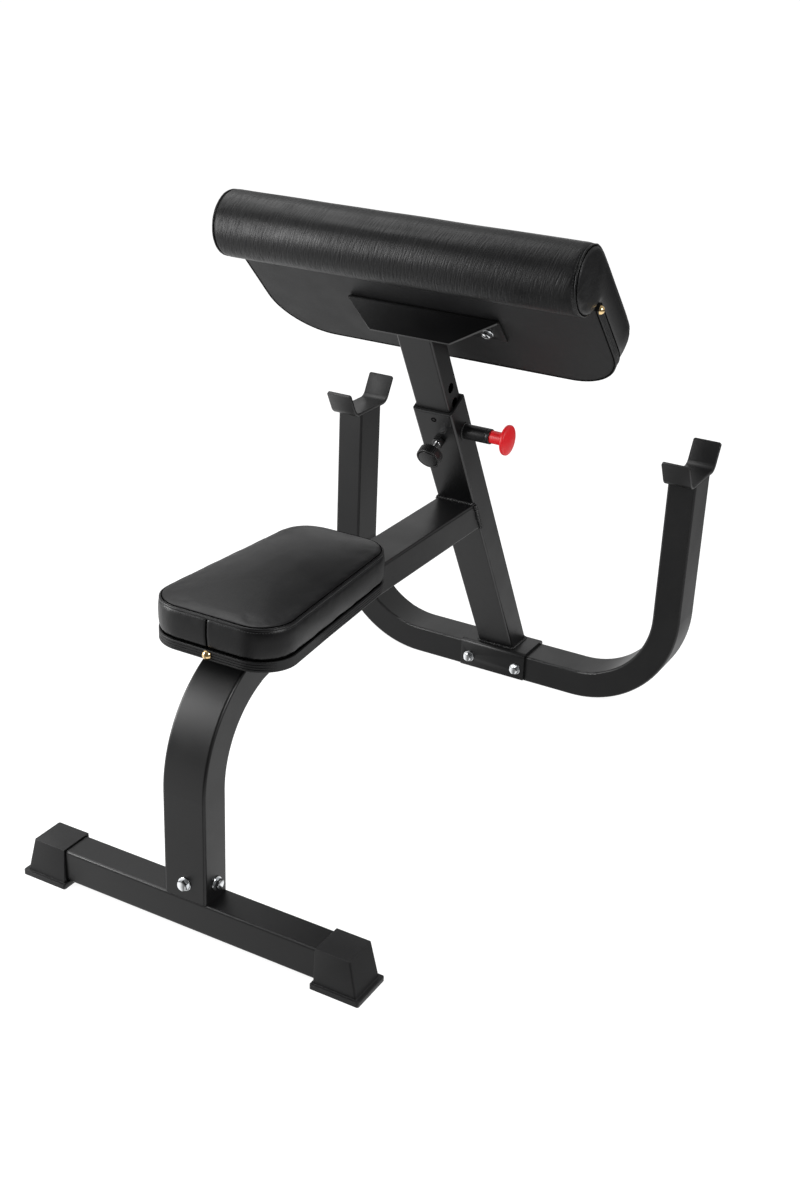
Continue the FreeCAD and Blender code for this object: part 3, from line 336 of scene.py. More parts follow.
def filletPath(corners, closed=True, arcSteps=8):
    # each corner is (across, up) or (across, up, radius)
    points = []
    for index, corner in enumerate(corners):
        spot = Vector(corner[:2])
        if len(corner) == 2 or (not closed and index in (0, len(corners) - 1)):
            points.append(spot)
            continue
        radius = corner[2]
        before = (Vector(corners[index - 1][:2]) - spot).normalized()
        after = (Vector(corners[(index + 1) % len(corners)][:2]) - spot).normalized()
        half = before.angle(after) / 2
        middle = spot + (before + after).normalized() * radius / math.sin(half)
        start = spot + before * radius / math.tan(half) - middle
        stop = spot + after * radius / math.tan(half) - middle
        first = math.atan2(start.y, start.x)
        turn = (math.atan2(stop.y, stop.x) - first + math.pi) % (2 * math.pi) - math.pi
        for step in range(arcSteps + 1):
            angle = first + turn * step / arcSteps
            points.append(middle + Vector((math.cos(angle), math.sin(angle))) * radius)
    return points


def domeArc(radius, rise, top, shares):
    # (radius, height) on a shallow dome with its crown at the top, at shares of the way out to its rim
    ball = (radius ** 2 + rise ** 2) / (2 * rise)
    steep = math.asin(radius / ball)
    return [(ball * math.sin(steep * share), top - ball + ball * math.cos(steep * share)) for share in shares]


def evenPath(points, spacing, closed=False):
    # the same line in even steps
    line = list(points) + ([points[0]] if closed else [])
    lengths = [(b - a).length for a, b in zip(line, line[1:])]
    total = sum(lengths)
    count = max(2, round(total / spacing))
    result = []
    for step in range(count if closed else count + 1):
        left = total * step / count
        index = 0
        while index < len(lengths) - 1 and left > lengths[index]:
            left -= lengths[index]
            index += 1
        result.append(line[index].lerp(line[index + 1], min(1.0, left / max(lengths[index], 1e-9))))
    return result


def headings(points, closed):
    # the way a line runs at each of its points
    count = len(points)
    result = []
    for index, point in enumerate(points):
        ahead = points[(index + 1) % count] if closed or index < count - 1 else point
        behind = points[index - 1] if closed or index > 0 else point
        result.append((ahead - behind).normalized())
    return result


def turnedMesh(name, profile, origin, axis, segments, radiusAt=None):
    # profile is (radius, height) from one end of the axis to the other
    place = Matrix.Translation(origin) @ upward.rotation_difference(axis).to_matrix().to_4x4()
    rows = []
    for radius, height in profile:
        row = []
        for step in range(segments):
            angle = 2 * math.pi * step / segments
            reach = radiusAt(radius, height, angle) if radiusAt else radius
            row.append(place @ Vector((reach * math.cos(angle), reach * math.sin(angle), height)))
        rows.append(row)
    mesh = gridMesh(name, rows)
    shadeSmooth(mesh)
    return mesh


# Geometry Nodes trees
def newTree(name, sockets):
    tree = bpy.data.node_groups.new(name, "GeometryNodeTree")
    tree.interface.new_socket("Geometry", in_out="INPUT", socket_type="NodeSocketGeometry")
    for label, kind in sockets:
        tree.interface.new_socket(label, in_out="INPUT", socket_type=kind)
    tree.interface.new_socket("Geometry", in_out="OUTPUT", socket_type="NodeSocketGeometry")
    return tree, addNode(tree, "NodeGroupInput").outputs


def closeTree(tree, geometry, material, smooth=True):
    last = addNode(tree, "GeometryNodeRealizeInstances", {"Geometry": geometry})
    if smooth:
        last = addNode(tree, "GeometryNodeSetShadeSmooth", {"Geometry": last.outputs["Geometry"]})
    coated = addNode(tree, "GeometryNodeSetMaterial", {
        "Geometry": last.outputs["Geometry"], "Material": material})
    addNode(tree, "NodeGroupOutput", {"Geometry": coated.outputs["Geometry"]})
    return tree


def makeBeadTree():
    # beads one after another along a line: stitches when they are apart, a weld's ripples when they overlap
    tree, given = newTree("beads_on_line", [
        ("Spacing", "NodeSocketFloat"), ("Size", "NodeSocketVector"), ("Jitter", "NodeSocketFloat"),
        ("Seed", "NodeSocketInt"), ("Material", "NodeSocketMaterial")])
    line = addNode(tree, "GeometryNodeMeshToCurve", {"Mesh": given["Geometry"]})
    even = addNode(tree, "GeometryNodeResampleCurve",
                   {"Curve": line.outputs["Curve"], "Length": given["Spacing"]}, mode="LENGTH")
    ball = addNode(tree, "GeometryNodeMeshUVSphere", {"Segments": 8, "Rings": 6, "Radius": 0.5})
    bead = addNode(tree, "GeometryNodeTransform", {"Geometry": ball.outputs["Mesh"], "Scale": given["Size"]})
    tangent = addNode(tree, "GeometryNodeInputTangent").outputs["Tangent"]
    turn = addNode(tree, "FunctionNodeAlignRotationToVector", {"Vector": tangent}, axis="X")
    less = addNode(tree, "ShaderNodeMath", (1.0, given["Jitter"]), operation="SUBTRACT")
    more = addNode(tree, "ShaderNodeMath", (1.0, given["Jitter"]), operation="ADD")
    vary = addNode(tree, "FunctionNodeRandomValue", {
        2: less.outputs[0], 3: more.outputs[0], "Seed": given["Seed"]}, data_type="FLOAT")
    row = addNode(tree, "GeometryNodeInstanceOnPoints", {
        "Points": even.outputs["Curve"], "Instance": bead.outputs["Geometry"],
        "Rotation": turn.outputs["Rotation"], "Scale": vary.outputs[1]})
    return closeTree(tree, row.outputs["Instances"], given["Material"])


def makeTubeTree():
    # round piping along a line
    tree, given = newTree("piping_on_line", [
        ("Radius", "NodeSocketFloat"), ("Material", "NodeSocketMaterial")])
    line = addNode(tree, "GeometryNodeMeshToCurve", {"Mesh": given["Geometry"]})
    ring = addNode(tree, "GeometryNodeCurvePrimitiveCircle", {"Resolution": 10, "Radius": given["Radius"]})
    tube = addNode(tree, "GeometryNodeCurveToMesh", {
        "Curve": line.outputs["Curve"], "Profile Curve": ring.outputs["Curve"], "Fill Caps": True})
    return closeTree(tree, tube.outputs["Mesh"], given["Material"])


def makeFastenerTree():
    # one fastener on each point, standing along the point's own direction and turned to its heading
    tree, given = newTree("fasteners_on_points", [
        ("Fastener", "NodeSocketObject"), ("Material", "NodeSocketMaterial")])
    model = addNode(tree, "GeometryNodeObjectInfo", {"Object": given["Fastener"], "As Instance": True})
    facing, heading = [
        addNode(tree, "GeometryNodeInputNamedAttribute", {"Name": name},
                data_type="FLOAT_VECTOR").outputs["Attribute"] for name in ("facing", "heading")]
    standing = addNode(tree, "FunctionNodeAlignRotationToVector", {"Vector": facing}, axis="Z")
    turn = addNode(tree, "FunctionNodeAlignRotationToVector", {
        "Rotation": standing.outputs["Rotation"], "Vector": heading}, axis="X", pivot_axis="Z")
    copies = addNode(tree, "GeometryNodeInstanceOnPoints", {
        "Points": given["Geometry"], "Instance": model.outputs["Geometry"],
        "Rotation": turn.outputs["Rotation"]})
    return closeTree(tree, copies.outputs["Instances"], given["Material"], smooth=False)


def grown(name, seed, tree, values):
    # runs a tree on a seed mesh and keeps the result as a plain mesh
    host = bpy.data.objects.new(name + "_seed", seed)
    bpy.context.scene.collection.objects.link(host)
    modifier = host.modifiers.new("nodes", "NODES")
    modifier.node_group = tree
    for item in tree.interface.items_tree:
        if item.item_type == "SOCKET" and item.in_out == "INPUT" and item.name in values:
            modifier[item.identifier] = values[item.name]
    mesh = applied(host).data
    mesh.name = name
    bpy.data.objects.remove(host)
    return mesh


def lineSeed(paths):
    # edges along one or more lines, each (points, closed)
    mesh = bpy.data.meshes.new("line")
    points, edges = [], []
    for path, closed in paths:
        start = len(points)
        points += path
        edges += [(start + i, start + i + 1) for i in range(len(path) - 1)]
        if closed:
            edges.append((start + len(path) - 1, start))
    mesh.from_pydata(points, edges, [])
    return mesh


def pointSeed(stands):
    # loose points, each with the direction it faces and a heading across it
    mesh = bpy.data.meshes.new("points")
    mesh.from_pydata([spot for spot, facing, heading in stands], [], [])
    for name, index in (("facing", 1), ("heading", 2)):
        attribute = mesh.attributes.new(name, "FLOAT_VECTOR", "POINT")
        attribute.data.foreach_set("vector", [value for stand in stands for value in stand[index]])
    return mesh


beadTree = makeBeadTree()
tubeTree = makeTubeTree()
fastenerTree = makeFastenerTree()


def beads(name, paths, finish, size, spacing, jitter, seed=3):
    values = {"Spacing": spacing, "Size": size, "Jitter": jitter, "Seed": seed, "Material": finish}
    return newPiece(name, grown(name, lineSeed(paths), beadTree, values), finish)


def piping(name, paths, finish, radius):
    values = {"Radius": radius, "Material": finish}
    return newPiece(name, grown(name, lineSeed(paths), tubeTree, values), finish)


# Cushions
stuffing = {"quality": 4, "mass": 0.3, "pressure": 4.0, "frames": 20}
sewing = {
    "arcSteps": 16,               # steps round a corner of a line that is sewn or bound along
    "step": 2 * mm, "closingStep": 1 * mm, "footStep": 3 * mm, "bindingStep": 4 * mm,
    "jitter": 0.08,               # how unlike each other the stitches are
    "reach": 6, "puckerAt": 2.5, "puckerWide": 1.5,   # in widths of the seam
    "puckerPitch": 12 * mm,
}


def remeshed(piece, voxel, relax):
    grid = piece.modifiers.new("voxels", "REMESH")
    grid.mode = "VOXEL"
    grid.voxel_size = voxel
    ease = piece.modifiers.new("ease", "SMOOTH")
    ease.factor = 0.5
    ease.iterations = relax
    return applied(piece)


def vertexSpots(mesh):
    flat = [0.0] * (3 * len(mesh.vertices))
    mesh.vertices.foreach_get("co", flat)
    return [Vector(flat[start:start + 3]) for start in range(0, len(flat), 3)]


def vertexNormals(mesh):
    return [vertex.normal.copy() for vertex in mesh.vertices]


def placeVertices(mesh, spots):
    mesh.vertices.foreach_set("co", [value for spot in spots for value in spot])
    mesh.update()


def finderOf(points):
    # tells how far a spot lies from a line
    finder = KDTree(len(points))
    for index, point in enumerate(points):
        finder.insert(point, index)
    finder.balance()
    return finder


def filled(piece, isHeld, capAt):
    # the cover is blown up like a stuffed cushion, held where it is sewn or rests, with its movement capped
    start = vertexSpots(piece.data)
    normals = vertexNormals(piece.data)
    held = piece.vertex_groups.new(name="held")
    held.add([index for index, spot in enumerate(start) if isHeld(spot)], 1.0, "REPLACE")
    cloth = piece.modifiers.new("fill", "CLOTH")
    cloth.settings.quality = stuffing["quality"]
    cloth.settings.mass = stuffing["mass"]
    cloth.settings.use_pressure = True
    cloth.settings.uniform_pressure_force = stuffing["pressure"]
    cloth.settings.vertex_group_mass = "held"
    cloth.settings.effector_weights.gravity = 0.0
    cloth.collision_settings.use_collision = False
    cloth.point_cache.frame_start = 1
    cloth.point_cache.frame_end = stuffing["frames"]
    scene = bpy.context.scene
    for moment in range(1, stuffing["frames"] + 1):
        scene.frame_set(moment)
    evaluated = piece.evaluated_get(bpy.context.evaluated_depsgraph_get())
    moved = vertexSpots(evaluated.data)
    piece.modifiers.clear()
    piece.vertex_groups.clear()
    scene.frame_set(1)
    spots = []
    for before, after, normal in zip(start, moved, normals):
        swell = (after - before).dot(normal)
        spots.append(before + normal * max(0, min(capAt(before), swell)))
    placeVertices(piece.data, spots)
    return piece


def refined(piece):
    finer = piece.modifiers.new("finer", "SUBSURF")
    finer.levels = 1
    finer.render_levels = 1
    return applied(piece)


def onSurface(mesh, points):
    # the nearest spots on a cover, and its normals there
    tree = BVHTree.FromPolygons([v.co for v in mesh.vertices], [p.vertices for p in mesh.polygons])
    found = [tree.find_nearest(point)[:2] for point in points]
    return [spot for spot, normal in found], [normal for spot, normal in found]


def pressSeam(mesh, points, depth, width, pucker=0.0):
    # pulls the cover in along a seam, with a little puckering beside it
    line = finderOf(points)
    spots = vertexSpots(mesh)
    normals = vertexNormals(mesh)
    puckerAt, puckerWide = sewing["puckerAt"] * width, sewing["puckerWide"] * width
    for index, spot in enumerate(spots):
        distance = line.find(spot)[2]
        if distance > sewing["reach"] * width:
            continue
        push = depth * math.exp(-(distance / width) ** 2)
        near = math.exp(-((distance - puckerAt) / puckerWide) ** 2)
        push += pucker * near * noise.noise(spot * perMetre(sewing["puckerPitch"]))
        spots[index] = spot - normals[index] * push
    placeVertices(mesh, spots)


def ruffled(mesh, height, pitch):
    # the long, slow waviness of foam under leather
    spots = [spot + normal * height * noise.noise(spot * perMetre(pitch))
             for spot, normal in zip(vertexSpots(mesh), vertexNormals(mesh))]
    placeVertices(mesh, spots)


def beside(points, normals, shift, closed):
    # a line moved sideways over the surface
    return [point + along.cross(normal) * shift
            for point, along, normal in zip(points, headings(points, closed), normals)]


def writeCreases(mesh, amountAt):
    attribute = mesh.attributes.new("creases", "FLOAT", "POINT")
    attribute.data.foreach_set("value", [amountAt(vertex.co) for vertex in mesh.vertices])


# Arm pad: one cover over a foam slab and the roll along its upper edge, sewn to a side panel with piping
rollLow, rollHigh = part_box("arm_roll")
rollMiddle = boxMiddle("arm_roll")
armPad = {
    "slope": math.radians(46.1),
    "rollRadius": (rollHigh.z - rollLow.z) / 2,
    "rollHalf": rollHigh.x,
    "rollRound": 9 * mm,
    "halfWide": 302 * mm,
    "low": 262 * mm,              # lower edge, counted down the slope from the roll's axis
    "corner": 92 * mm,
    "base": 1.2 * mm,             # top of the board, counted out from the roll's axis
    "thick": 51.5 * mm,
    "heights": (0, 0.06, 0.3, 0.66, 0.84, 0.94, 0.985, 1),
    "insets": [inset * mm for inset in (2.5, 0.6, -2.0, -2.8, -2.2, 0.2, 4, 10)],
    "edgeRing": 5,                # the ring where the top cover meets the side panel
    "shrink": 1.2 * mm,
    "voxel": 5 * mm, "relax": 4, "cap": 4.0 * mm, "rollCap": 1.4 * mm,
    "seamHeight": 0.95,           # share of the slab's thickness where the top cover meets the side panel
    "seamEnd": 5 * mm,            # from the end of the roll to its seam
    "seamArc": (-14, -270, -4),   # degrees round the roll's end: first, last and step
    "seamDepth": 1.2 * mm, "seamWidth": 3.5 * mm, "pucker": 0.5 * mm, "piping": 1.5 * mm,
    "stitch": (3.0 * mm, 0.8 * mm, 0.8 * mm), "stitchStep": 4.2 * mm, "stitchShift": 4.0 * mm,
    # painted shade: radius of the near-black line beside the seam, and its shift from the seam
    "edgeShadeLine": 0.6 * mm, "edgeShift": 2.2 * mm,
    "ruffle": (0.5 * mm, 70 * mm),
    "creases": 0.85, "creaseTilt": 0.15,        # more of them towards the left end
    "creaseEnd": 0.6, "creaseFade": 0.5,        # in radii of the roll, down the slope
}
padDown = Vector((0, math.cos(armPad["slope"]), -math.sin(armPad["slope"])))
padOut = Vector((0, math.sin(armPad["slope"]), math.cos(armPad["slope"])))


def onPad(across, down, out):
    return rollMiddle + Vector((across, 0, 0)) + padDown * down + padOut * out


def fromPad(spot):
    reach = spot - rollMiddle
    return reach.x, reach.dot(padDown), reach.dot(padOut)


def padOutline(inset, arcSteps=12):
    half, low, corner = armPad["halfWide"] - inset, armPad["low"] - inset, armPad["corner"] - inset
    return filletPath([(-half, 0), (-half, low, corner), (half, low, corner), (half, 0)], True, arcSteps)


def padCreases(spot):
    across, down, out = fromPad(spot)
    radius = armPad["rollRadius"]
    fade = min(1.0, max(0.0, (radius * armPad["creaseEnd"] - down) / (radius * armPad["creaseFade"])))
    return fade * (armPad["creases"] - armPad["creaseTilt"] * across / armPad["rollHalf"])


def padSeam():
    # from the nail at one end, under, behind and over the roll, down the slab's edge, back at the other end
    radius = armPad["rollRadius"]
    ringEnd = armPad["rollHalf"] - armPad["seamEnd"]
    top = armPad["base"] + armPad["thick"] * armPad["seamHeight"]
    first, last, step = armPad["seamArc"]
    ring = []
    for degree in range(first, last + step, step):
        angle = math.radians(degree)
        ring.append(onPad(ringEnd, radius * math.cos(angle), radius * math.sin(angle)))
    outline = padOutline(armPad["insets"][armPad["edgeRing"]], sewing["arcSteps"])
    edge = [onPad(point.x, point.y, top) for point in outline[::-1] if point.y > radius]
    farRing = [Vector((-spot.x, spot.y, spot.z)) for spot in ring[::-1]]
    return evenPath(ring + edge + farRing, sewing["step"])


def makeArmPad():
    build = bmesh.new()
    shrink = armPad["shrink"]
    rings = []
    for share, inset in zip(armPad["heights"], armPad["insets"]):
        out = armPad["base"] + (armPad["thick"] - shrink) * share
        rings.append([onPad(point.x, point.y, out) for point in padOutline(inset + shrink)])
    stackRings(build, rings)
    radius, half = armPad["rollRadius"] - shrink, armPad["rollHalf"] - shrink
    profile = filletPath([(0, -half), (radius, -half, armPad["rollRound"]),
                          (radius, half, armPad["rollRound"]), (0, half)], False)
    build.from_mesh(turnedMesh("roll", profile[1:-1], rollMiddle, rightward, 72))
    bmesh.ops.recalc_face_normals(build, faces=build.faces)
    cover = newPiece("arm_pad_cover", meshFrom(build, "arm_pad_cover"), finishes["black_leather"])
    remeshed(cover, armPad["voxel"], armPad["relax"])
    seam = padSeam()
    line = finderOf(seam)

    def isHeld(spot):
        across, down, out = fromPad(spot)
        onBoard = down > armPad["rollRadius"] and out < armPad["base"] + armPad["voxel"]
        return onBoard or line.find(spot)[2] < armPad["voxel"]

    def capAt(spot):
        # from the roll's cap to the slab's, smoothly over one radius
        share = min(1.0, max(0.0, fromPad(spot)[1] / armPad["rollRadius"] - 1))
        return armPad["rollCap"] + (armPad["cap"] - armPad["rollCap"]) * share * share * (3 - 2 * share)

    filled(cover, isHeld, capAt)
    refined(cover)
    ruffled(cover.data, *armPad["ruffle"])
    seam, normals = onSurface(cover.data, seam)
    pressSeam(cover.data, seam, armPad["seamDepth"], armPad["seamWidth"], armPad["pucker"])
    shadeSmooth(cover.data)
    writeCreases(cover.data, padCreases)
    settle(cover, "pad_carriage", "black_leather", "arm_roll", "pad_cushion")
    return cover, seam, normals


padCover, padSeamLine, padSeamNormals = makeArmPad()
print("arm pad cover:", len(padCover.data.polygons), "faces")


def trimPadSeam():
    welt = piping("arm_pad_piping", [(padSeamLine, False)], finishes["black_leather"], armPad["piping"])
    settle(welt, "pad_carriage", "black_leather")
    rows = []
    for side in (1, -1):
        moved = beside(padSeamLine, padSeamNormals, side * armPad["stitchShift"], False)
        rows.append((onSurface(padCover.data, moved)[0], False))
    sewn = beads("arm_pad_stitches", rows, threadFinish, armPad["stitch"], armPad["stitchStep"],
                 sewing["jitter"])
    settle(sewn, "pad_carriage", "trim_leather")
    # painted shade: a thin near-black line beside the seam, standing in for its groove's shadow
    sunk = onSurface(padCover.data, beside(padSeamLine, padSeamNormals, armPad["edgeShift"], False))[0]
    shadeLine = piping("arm_pad_edge_cord", [(sunk, False)], shadeLineFinish, armPad["edgeShadeLine"])
    settle(shadeLine, "pad_carriage", "trim_leather")


trimPadSeam()


# Seat: crowned cushion with a band round its side, a rolled top edge and a seam up the middle of the back
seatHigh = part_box("seat_cushion")[1]
boardLow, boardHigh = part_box("seat_board")
seat = {
    "rear": boardLow.y, "front": boardHigh.y,
    "rearHalf": boardHigh.x, "frontHalf": 81 * mm,
    "corner": 49 * mm, "overhang": 3 * mm,
    "base": boardHigh.z + 0.6 * mm, "thick": seatHigh.z - boardHigh.z,
    "heights": (0, 0.03, 0.25, 0.5, 0.68, 0.745, 0.785, 0.805),
    "insets": [inset * mm for inset in (1.2, 0.2, -1.2, -1.5, -0.8, 0.8, 2, 5)],
    "edgeRing": 5,                # the ring where the top cover meets the band
    "crown": 10 * mm, "crownPower": 2.2,
    "shrink": 1.0 * mm,
    "voxel": 4 * mm, "relax": 3, "cap": 1.2 * mm,
    "seamHeight": 0.755,
    "seamDepth": 0.8 * mm, "seamWidth": 3.0 * mm, "pucker": 0.3 * mm,
    "piping": 2.3 * mm, "pipingSink": 0.9 * mm,
    "stitch": (2.8 * mm, 0.9 * mm, 0.9 * mm), "stitchStep": 4.0 * mm, "stitchShift": 4.4 * mm,
    "closing": -0.5 * mm,         # the upright seam's place across the back
    # the cord sizes on this line and the next are radii of painted shade: thin near-black lines in the seams and
    # along the foot
    "closingDepth": 0.8 * mm, "closingWidth": 1.6 * mm, "closingShadeLine": 1.2 * mm,
    "footShadeLine": 0.9 * mm, "edgeShadeLine": 0.7 * mm, "edgeShift": -3.4 * mm,
    "ruffle": (0.25 * mm, 90 * mm),
    "creases": 0.12,
}


def seatOutline(inset, arcSteps=12):
    taper = (seat["rearHalf"] - seat["frontHalf"]) / (seat["front"] - seat["rear"])
    slack = inset * math.sqrt(1 + taper ** 2)
    rear = seat["rearHalf"] - slack - inset * taper
    front = seat["frontHalf"] - slack + inset * taper
    low, high, turn = seat["rear"] + inset, seat["front"] - inset, seat["corner"] - inset
    corners = [(rear, low, turn), (front, high, turn), (-front, high, turn), (-rear, low, turn)]
    return filletPath([(0, low), *corners], True, arcSteps)


def crownAt(spot):
    # how far the top swells up, highest in the middle and fading to the edge
    rim = seat["base"] + seat["thick"] * seat["heights"][seat["edgeRing"]]
    share = (spot.y - seat["rear"]) / (seat["front"] - seat["rear"])
    half = seat["rearHalf"] + (seat["frontHalf"] - seat["rearHalf"]) * share
    acrossFall = 1 - min(1.0, abs(spot.x) / half) ** seat["crownPower"]
    alongFall = 1 - min(1.0, abs(2 * share - 1)) ** seat["crownPower"]
    return seat["crown"] * acrossFall * alongFall if spot.z > rim else 0.0


def makeSeat():
    build = bmesh.new()
    shrink = seat["shrink"]
    rings = []
    for share, inset in zip(seat["heights"], seat["insets"]):
        height = seat["base"] + (seat["thick"] - shrink) * share
        outline = seatOutline(inset + shrink - seat["overhang"])
        rings.append([Vector((point.x, point.y, height)) for point in outline])
    stackRings(build, rings)
    bmesh.ops.recalc_face_normals(build, faces=build.faces)
    cover = newPiece("seat_cover", meshFrom(build, "seat_cover"), finishes["black_leather"])
    remeshed(cover, seat["voxel"], seat["relax"])
    placeVertices(cover.data, [spot + upward * crownAt(spot) for spot in vertexSpots(cover.data)])
    top = seat["base"] + seat["thick"] * seat["seamHeight"]
    outline = seatOutline(seat["insets"][seat["edgeRing"]] - seat["overhang"], sewing["arcSteps"])
    seam = evenPath([Vector((point.x, point.y, top)) for point in outline], sewing["step"], True)
    line = finderOf(seam)

    def isHeld(spot):
        return spot.z < seat["base"] + seat["voxel"] or line.find(spot)[2] < seat["voxel"]

    filled(cover, isHeld, lambda spot: seat["cap"])
    refined(cover)
    ruffled(cover.data, *seat["ruffle"])
    seam, normals = onSurface(cover.data, seam)
    pressSeam(cover.data, seam, seat["seamDepth"], seat["seamWidth"], seat["pucker"])
    closing = [Vector((seat["closing"], seat["rear"] - seat["overhang"], height))
               for height in (top, seat["base"])]
    closing = onSurface(cover.data, evenPath(closing, sewing["closingStep"]))[0]
    pressSeam(cover.data, closing, seat["closingDepth"], seat["closingWidth"])
    closing = onSurface(cover.data, closing)[0]
    shadeSmooth(cover.data)
    writeCreases(cover.data, lambda spot: seat["creases"])
    settle(cover, "frame", "black_leather", "seat_cushion")
    return cover, seam, normals, closing


seatCover, seatSeamLine, seatSeamNormals, seatClosing = makeSeat()
print("seat cover:", len(seatCover.data.polygons), "faces")


def trimSeatSeam():
    sunk = [spot - normal * seat["pipingSink"] for spot, normal in zip(seatSeamLine, seatSeamNormals)]
    welt = piping("seat_piping", [(sunk, True)], finishes["black_leather"], seat["piping"])
    settle(welt, "frame", "black_leather")
    moved = beside(seatSeamLine, seatSeamNormals, seat["stitchShift"], True)
    sewn = beads("seat_stitches", [(onSurface(seatCover.data, moved)[0], True)], threadFinish, seat["stitch"],
                 seat["stitchStep"], sewing["jitter"])
    settle(sewn, "frame", "trim_leather")
    # painted shade: thin near-black lines below the seam, along the cushion's foot and down the back seam,
    # standing in for the shade in their grooves and gaps
    lower = onSurface(seatCover.data, beside(seatSeamLine, seatSeamNormals, seat["edgeShift"], True))[0]
    outline = evenPath(seatOutline(0, sewing["arcSteps"]), sewing["footStep"], True)
    foot = [Vector((point.x, point.y, seat["base"])) for point in outline]
    for name, path, closed, radius in (("seat_edge_cord", lower, True, seat["edgeShadeLine"]),
                                       ("seat_foot_cord", foot, True, seat["footShadeLine"]),
                                       ("seat_closing_cord", seatClosing, False, seat["closingShadeLine"])):
        settle(piping(name, [(path, closed)], shadeLineFinish, radius), "frame", "trim_leather")


trimSeatSeam()


# Ribbed binding round the edge of both boards
binding = {
    "thick": 3 * mm, "height": 14.5 * mm, "round": 1.0 * mm,
    "grooves": (3.6 * mm, 7.2 * mm, 10.8 * mm), "grooveWide": 1.5 * mm, "grooveDeep": 1.1 * mm,
    "seatInner": 0.1 * mm, "padInner": -3.1 * mm,   # inner face of the strip, out from the line it follows
    "padBase": -14 * mm,          # underside of the pad's board, counted out from the roll's axis
    # painted shade: radius of the near-black lines along the pad binding's edges
    "shadeLine": 0.7 * mm,
}


def bindingProfile(inner):
    # (out, up) round the strip's section, from its lower inner corner up its ribbed outer face
    thick, height = binding["thick"], binding["height"]
    outer = [(thick, 0, binding["round"])]
    for groove in binding["grooves"]:
        half = binding["grooveWide"] / 2
        outer += [(thick, groove - half), (thick - binding["grooveDeep"], groove), (thick, groove + half)]
    outer.append((thick, height, binding["round"]))
    return filletPath([(inner, 0), *outer, (inner, height)], True, 4)


def sweptStrip(name, outline, place, closed, inner):
    # outline runs with the outside on its right hand
    profile = bindingProfile(inner)
    rows = []
    for point, along in zip(outline, headings(outline, closed)):
        outward = Vector((along.y, -along.x))
        rows.append([place(*(point + outward * out), up) for out, up in profile])
    mesh = gridMesh(name, rows, closed)
    shadeSmooth(mesh)
    return newPiece(name, sharpen(mesh, 40), finishes["trim_leather"])


def makeBindings():
    seatLine = evenPath(seatOutline(0, sewing["arcSteps"]), sewing["bindingStep"], True)
    strip = sweptStrip("seat_binding", seatLine, lambda x, y, up: Vector((x, y, boardLow.z + up)), True,
                       binding["seatInner"])
    settle(strip, "frame", "trim_leather", "seat_trim")
    first, base = armPad["rollRadius"], binding["padBase"]

    def padLine(inset):
        half = armPad["halfWide"] - inset
        edge = padOutline(inset, sewing["arcSteps"])[1:-1]
        line = [Vector((-half, first)), *edge, Vector((half, first))]
        return evenPath(line, sewing["bindingStep"])[::-1]

    line = padLine(binding["thick"])
    strip = sweptStrip("arm_pad_binding", line, lambda x, y, up: onPad(x, y, base + up), False,
                       binding["padInner"])
    settle(strip, "pad_carriage", "trim_leather", "pad_trim")
    # painted shade: thin near-black lines along the binding's lower and upper edges, standing in for the gaps'
    # shade
    under = [onPad(point.x, point.y, base) for point in line]
    over = [onPad(point.x, point.y, base + binding["height"]) for point in padLine(0)]
    settle(piping("arm_pad_foot_cord", [(under, False), (over, False)], shadeLineFinish, binding["shadeLine"]),
           "pad_carriage", "trim_leather")


makeBindings()
print("bindings done")


# Bent plates and mouldings: the solids with their edges broken
softEdges = {
    "left_foot_cap": (1.1 * mm, "frame"), "right_foot_cap": (1.1 * mm, "frame"),
    "left_bar_catch": (1.0 * mm, "frame"), "right_bar_catch": (1.0 * mm, "frame"),
    "saddle_bracket": (0.9 * mm, "frame"), "pad_bracket": (0.8 * mm, "pad_carriage"),
    "post_bushing": (0.8 * mm, "frame"), "lock_weld_nut": (0.8 * mm, "frame"),
}
edgeBreak = {"merge": 0.005 * mm, "flat": math.radians(1.0), "corner": math.radians(38), "segments": 3}
catchTips = {"round": 4 * mm, "zone": 8 * mm, "segments": 5}


def softened(node, width, body):
    mesh = nodes[node].data.copy()
    build = bmesh.new()
    build.from_mesh(mesh)
    bmesh.ops.remove_doubles(build, verts=build.verts, dist=edgeBreak["merge"])
    bmesh.ops.dissolve_limit(build, angle_limit=edgeBreak["flat"], verts=build.verts, edges=build.edges)
    if node.endswith("bar_catch"):
        # the strip's four free corners
        low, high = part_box(node)
        tips = [edge for edge in build.edges
                if all(vertex.co.z > high.z - catchTips["zone"] for vertex in edge.verts)
                and abs(edge.verts[0].co.x - edge.verts[1].co.x) < mm
                and min(abs(edge.verts[0].co.x - low.x), abs(edge.verts[0].co.x - high.x)) < mm]
        bmesh.ops.bevel(build, geom=tips, offset=catchTips["round"], segments=catchTips["segments"],
                        profile=0.5, affect="EDGES")
    build.to_mesh(mesh)
    build.free()
    piece = newPiece(node + "_finished", mesh, finishes[slotOf[node]])
    edge = piece.modifiers.new("edge", "BEVEL")
    edge.width = width
    edge.segments = edgeBreak["segments"]
    edge.limit_method = "ANGLE"
    edge.angle_limit = edgeBreak["corner"]
    edge.harden_normals = True
    shadeSmooth(mesh)
    applied(piece)
    settle(piece, body, slotOf[node], node)


for node, (width, body) in softEdges.items():
    softened(node, width, body)
print("softened:", len(softEdges))


